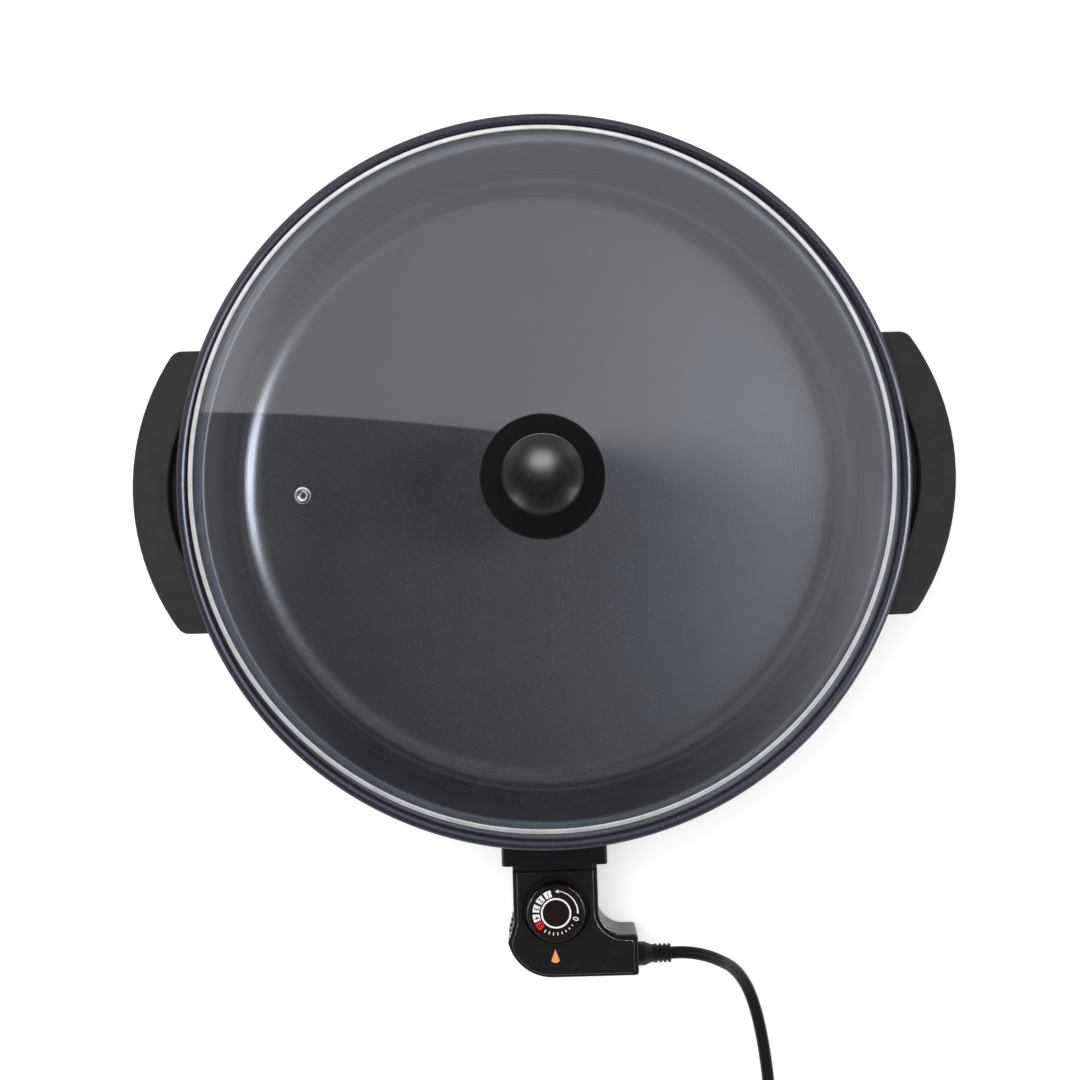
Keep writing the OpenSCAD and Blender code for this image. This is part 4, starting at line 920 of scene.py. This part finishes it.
def makeFloor(values):
    bpy.ops.mesh.primitive_plane_add(size=values["floorSize"], location=(0, 0, 0))
    floor = bpy.context.object
    floor.name = "floor"
    material, shader = newMaterial("floor", grey(values["floorColour"]), 0.9)
    shader.inputs["Specular IOR Level"].default_value = 0.0
    rays = addNode(material, "ShaderNodeLightPath").outputs
    seen = calc(material, "MAXIMUM", rays["Is Camera Ray"], rays["Is Transmission Ray"])
    shader.inputs["Emission Color"].default_value = (1, 1, 1, 1)
    wire(material, calc(material, "MAXIMUM", calc(material, "MULTIPLY", seen, values["floorLift"]),
                        calc(material, "MULTIPLY", rays["Is Glossy Ray"], values["floorGleam"])),
         shader.inputs["Emission Strength"])
    floor.data.materials.append(material)


def collected(name, pieceNames):
    # the pieces that a light shows on
    shownOn = bpy.data.collections.new(name)
    for pieceName in pieceNames:
        shownOn.objects.link(bpy.data.objects[pieceName])
    return shownOn


def makeSoftbox(values):
    # the large soft light behind the pan, which the glass shows as a pale haze with a straight lower edge;
    # the edge is sharp on the left and fades away on the right
    bpy.ops.mesh.primitive_plane_add(size=2 * values["reach"], location=(0, 0, 0))
    sheet = bpy.context.object
    sheet.name = "softbox"
    sheet.location = (0, panY, values["height"])
    bpy.ops.object.transform_apply()
    material = bpy.data.materials.new("softbox")
    material.use_nodes = True
    material.node_tree.nodes.clear()
    x, y, _ = apart(material, objectPlace(material))
    back = calc(material, "SUBTRACT", y, panY)
    line = calc(material, "ADD", calc(material, "MULTIPLY", x, values["slope"]), values["edge"])
    over = calc(material, "SUBTRACT", back, line)
    softness = eased(material, x, *values["fade"])
    inside = eased(material, calc(material, "DIVIDE", over, softness), -0.5, 0.5)
    leftward = eased(material, x, *values["leftRise"], 0.0, values["left"])
    main = calc(material, "ADD", leftward, values["strength"])
    rightward = calc(material, "DIVIDE", calc(material, "MAXIMUM", x, 0.0), values["rightAt"])
    rightRise = calc(material, "POWER", rightward, values["rightPower"])
    rightSide = calc(material, "MULTIPLY", rightRise, values["rightSide"])
    leftSide = eased(material, x, *values["leftSideRise"], 0.0, values["leftSide"])
    side = calc(material, "ADD", rightSide, leftSide)
    lit = calc(material, "MULTIPLY", main, inside)
    unlit = calc(material, "MULTIPLY", side, calc(material, "SUBTRACT", 1, inside))
    glow = addNode(material, "ShaderNodeEmission", Color=(*values["colour"], 1))
    wire(material, calc(material, "ADD", lit, unlit), glow.inputs["Strength"])
    both = addNode(material, "ShaderNodeAddShader")
    wire(material, glow.outputs[0], both.inputs[0])
    wire(material, addNode(material, "ShaderNodeBsdfTransparent").outputs[0], both.inputs[1])
    wire(material, both.outputs[0], addNode(material, "ShaderNodeOutputMaterial").inputs["Surface"])
    sheet.data.materials.append(material)
    sheet.visible_camera = False
    sheet.visible_shadow = False
    sheet.visible_diffuse = False
    sheet.light_linking.receiver_collection = collected("softboxOn", values["on"])


def makeLamp(name, place, aim, size, power, colour=(1, 1, 1)):
    data = bpy.data.lights.new(name, "AREA")
    data.shape = "ELLIPSE"
    data.size, data.size_y = size
    data.energy = power
    data.color = colour
    lamp = bpy.data.objects.new(name, data)
    scene.collection.objects.link(lamp)
    lamp.location = place
    lamp.rotation_euler = (Vector(aim) - Vector(place)).to_track_quat("-Z", "Y").to_euler()
    lamp.visible_glossy = False
    lamp.visible_transmission = False
    return lamp


def makeGleam(values, distance):
    # a lamp that shows only as a highlight on the pieces that it names
    lean, turn = math.radians(values["lean"]), math.radians(values["turn"])
    aim = Vector((0, panY, rimTop))
    way = Vector((math.sin(lean) * math.cos(turn), math.sin(lean) * math.sin(turn), math.cos(lean)))
    lamp = makeLamp(values["name"], aim + way * distance, aim, values["size"], values["power"],
                    values.get("colour", (1, 1, 1)))
    lamp.data.cycles.use_multiple_importance_sampling = False  # so that it reaches under the glass
    lamp.visible_glossy = True
    lamp.visible_diffuse = False
    lamp.light_linking.receiver_collection = collected(values["name"], values["on"])


def makeWorld(values):
    world = bpy.data.worlds.new("studio")
    scene.world = world
    world.use_nodes = True
    world.node_tree.nodes.clear()
    rays = addNode(world, "ShaderNodeLightPath").outputs
    rise = apart(world, addNode(world, "ShaderNodeTexCoord").outputs["Generated"])[2]
    gleam = eased(world, rise, *values["horizonRise"], values["horizon"], values["overhead"])
    background = calc(world, "MAXIMUM", rays["Is Camera Ray"], rays["Is Transmission Ray"])
    diffuse = calc(world, "ADD", calc(world, "MULTIPLY", background, 1 - values["world"]), values["world"])
    glossy = rays["Is Glossy Ray"]
    strength = calc(world, "ADD", calc(world, "MULTIPLY", glossy, gleam),
                    calc(world, "MULTIPLY", calc(world, "SUBTRACT", 1, glossy), diffuse))
    light = addNode(world, "ShaderNodeBackground", Color=(1, 1, 1, 1))
    wire(world, strength, light.inputs["Strength"])
    wire(world, light.outputs[0], addNode(world, "ShaderNodeOutputWorld").inputs["Surface"])


makeFloor(studio)
makeSoftbox(studio["softbox"])
keyLamp = studio["key"]
makeLamp("key", keyLamp["place"], (0, panY, 0.05), keyLamp["size"], keyLamp["power"])
for gleamValues in studio["gleams"]:
    makeGleam(gleamValues, studio["gleamDistance"])
makeWorld(studio)
scene.view_settings.view_transform = "Standard"
print("studio ready")
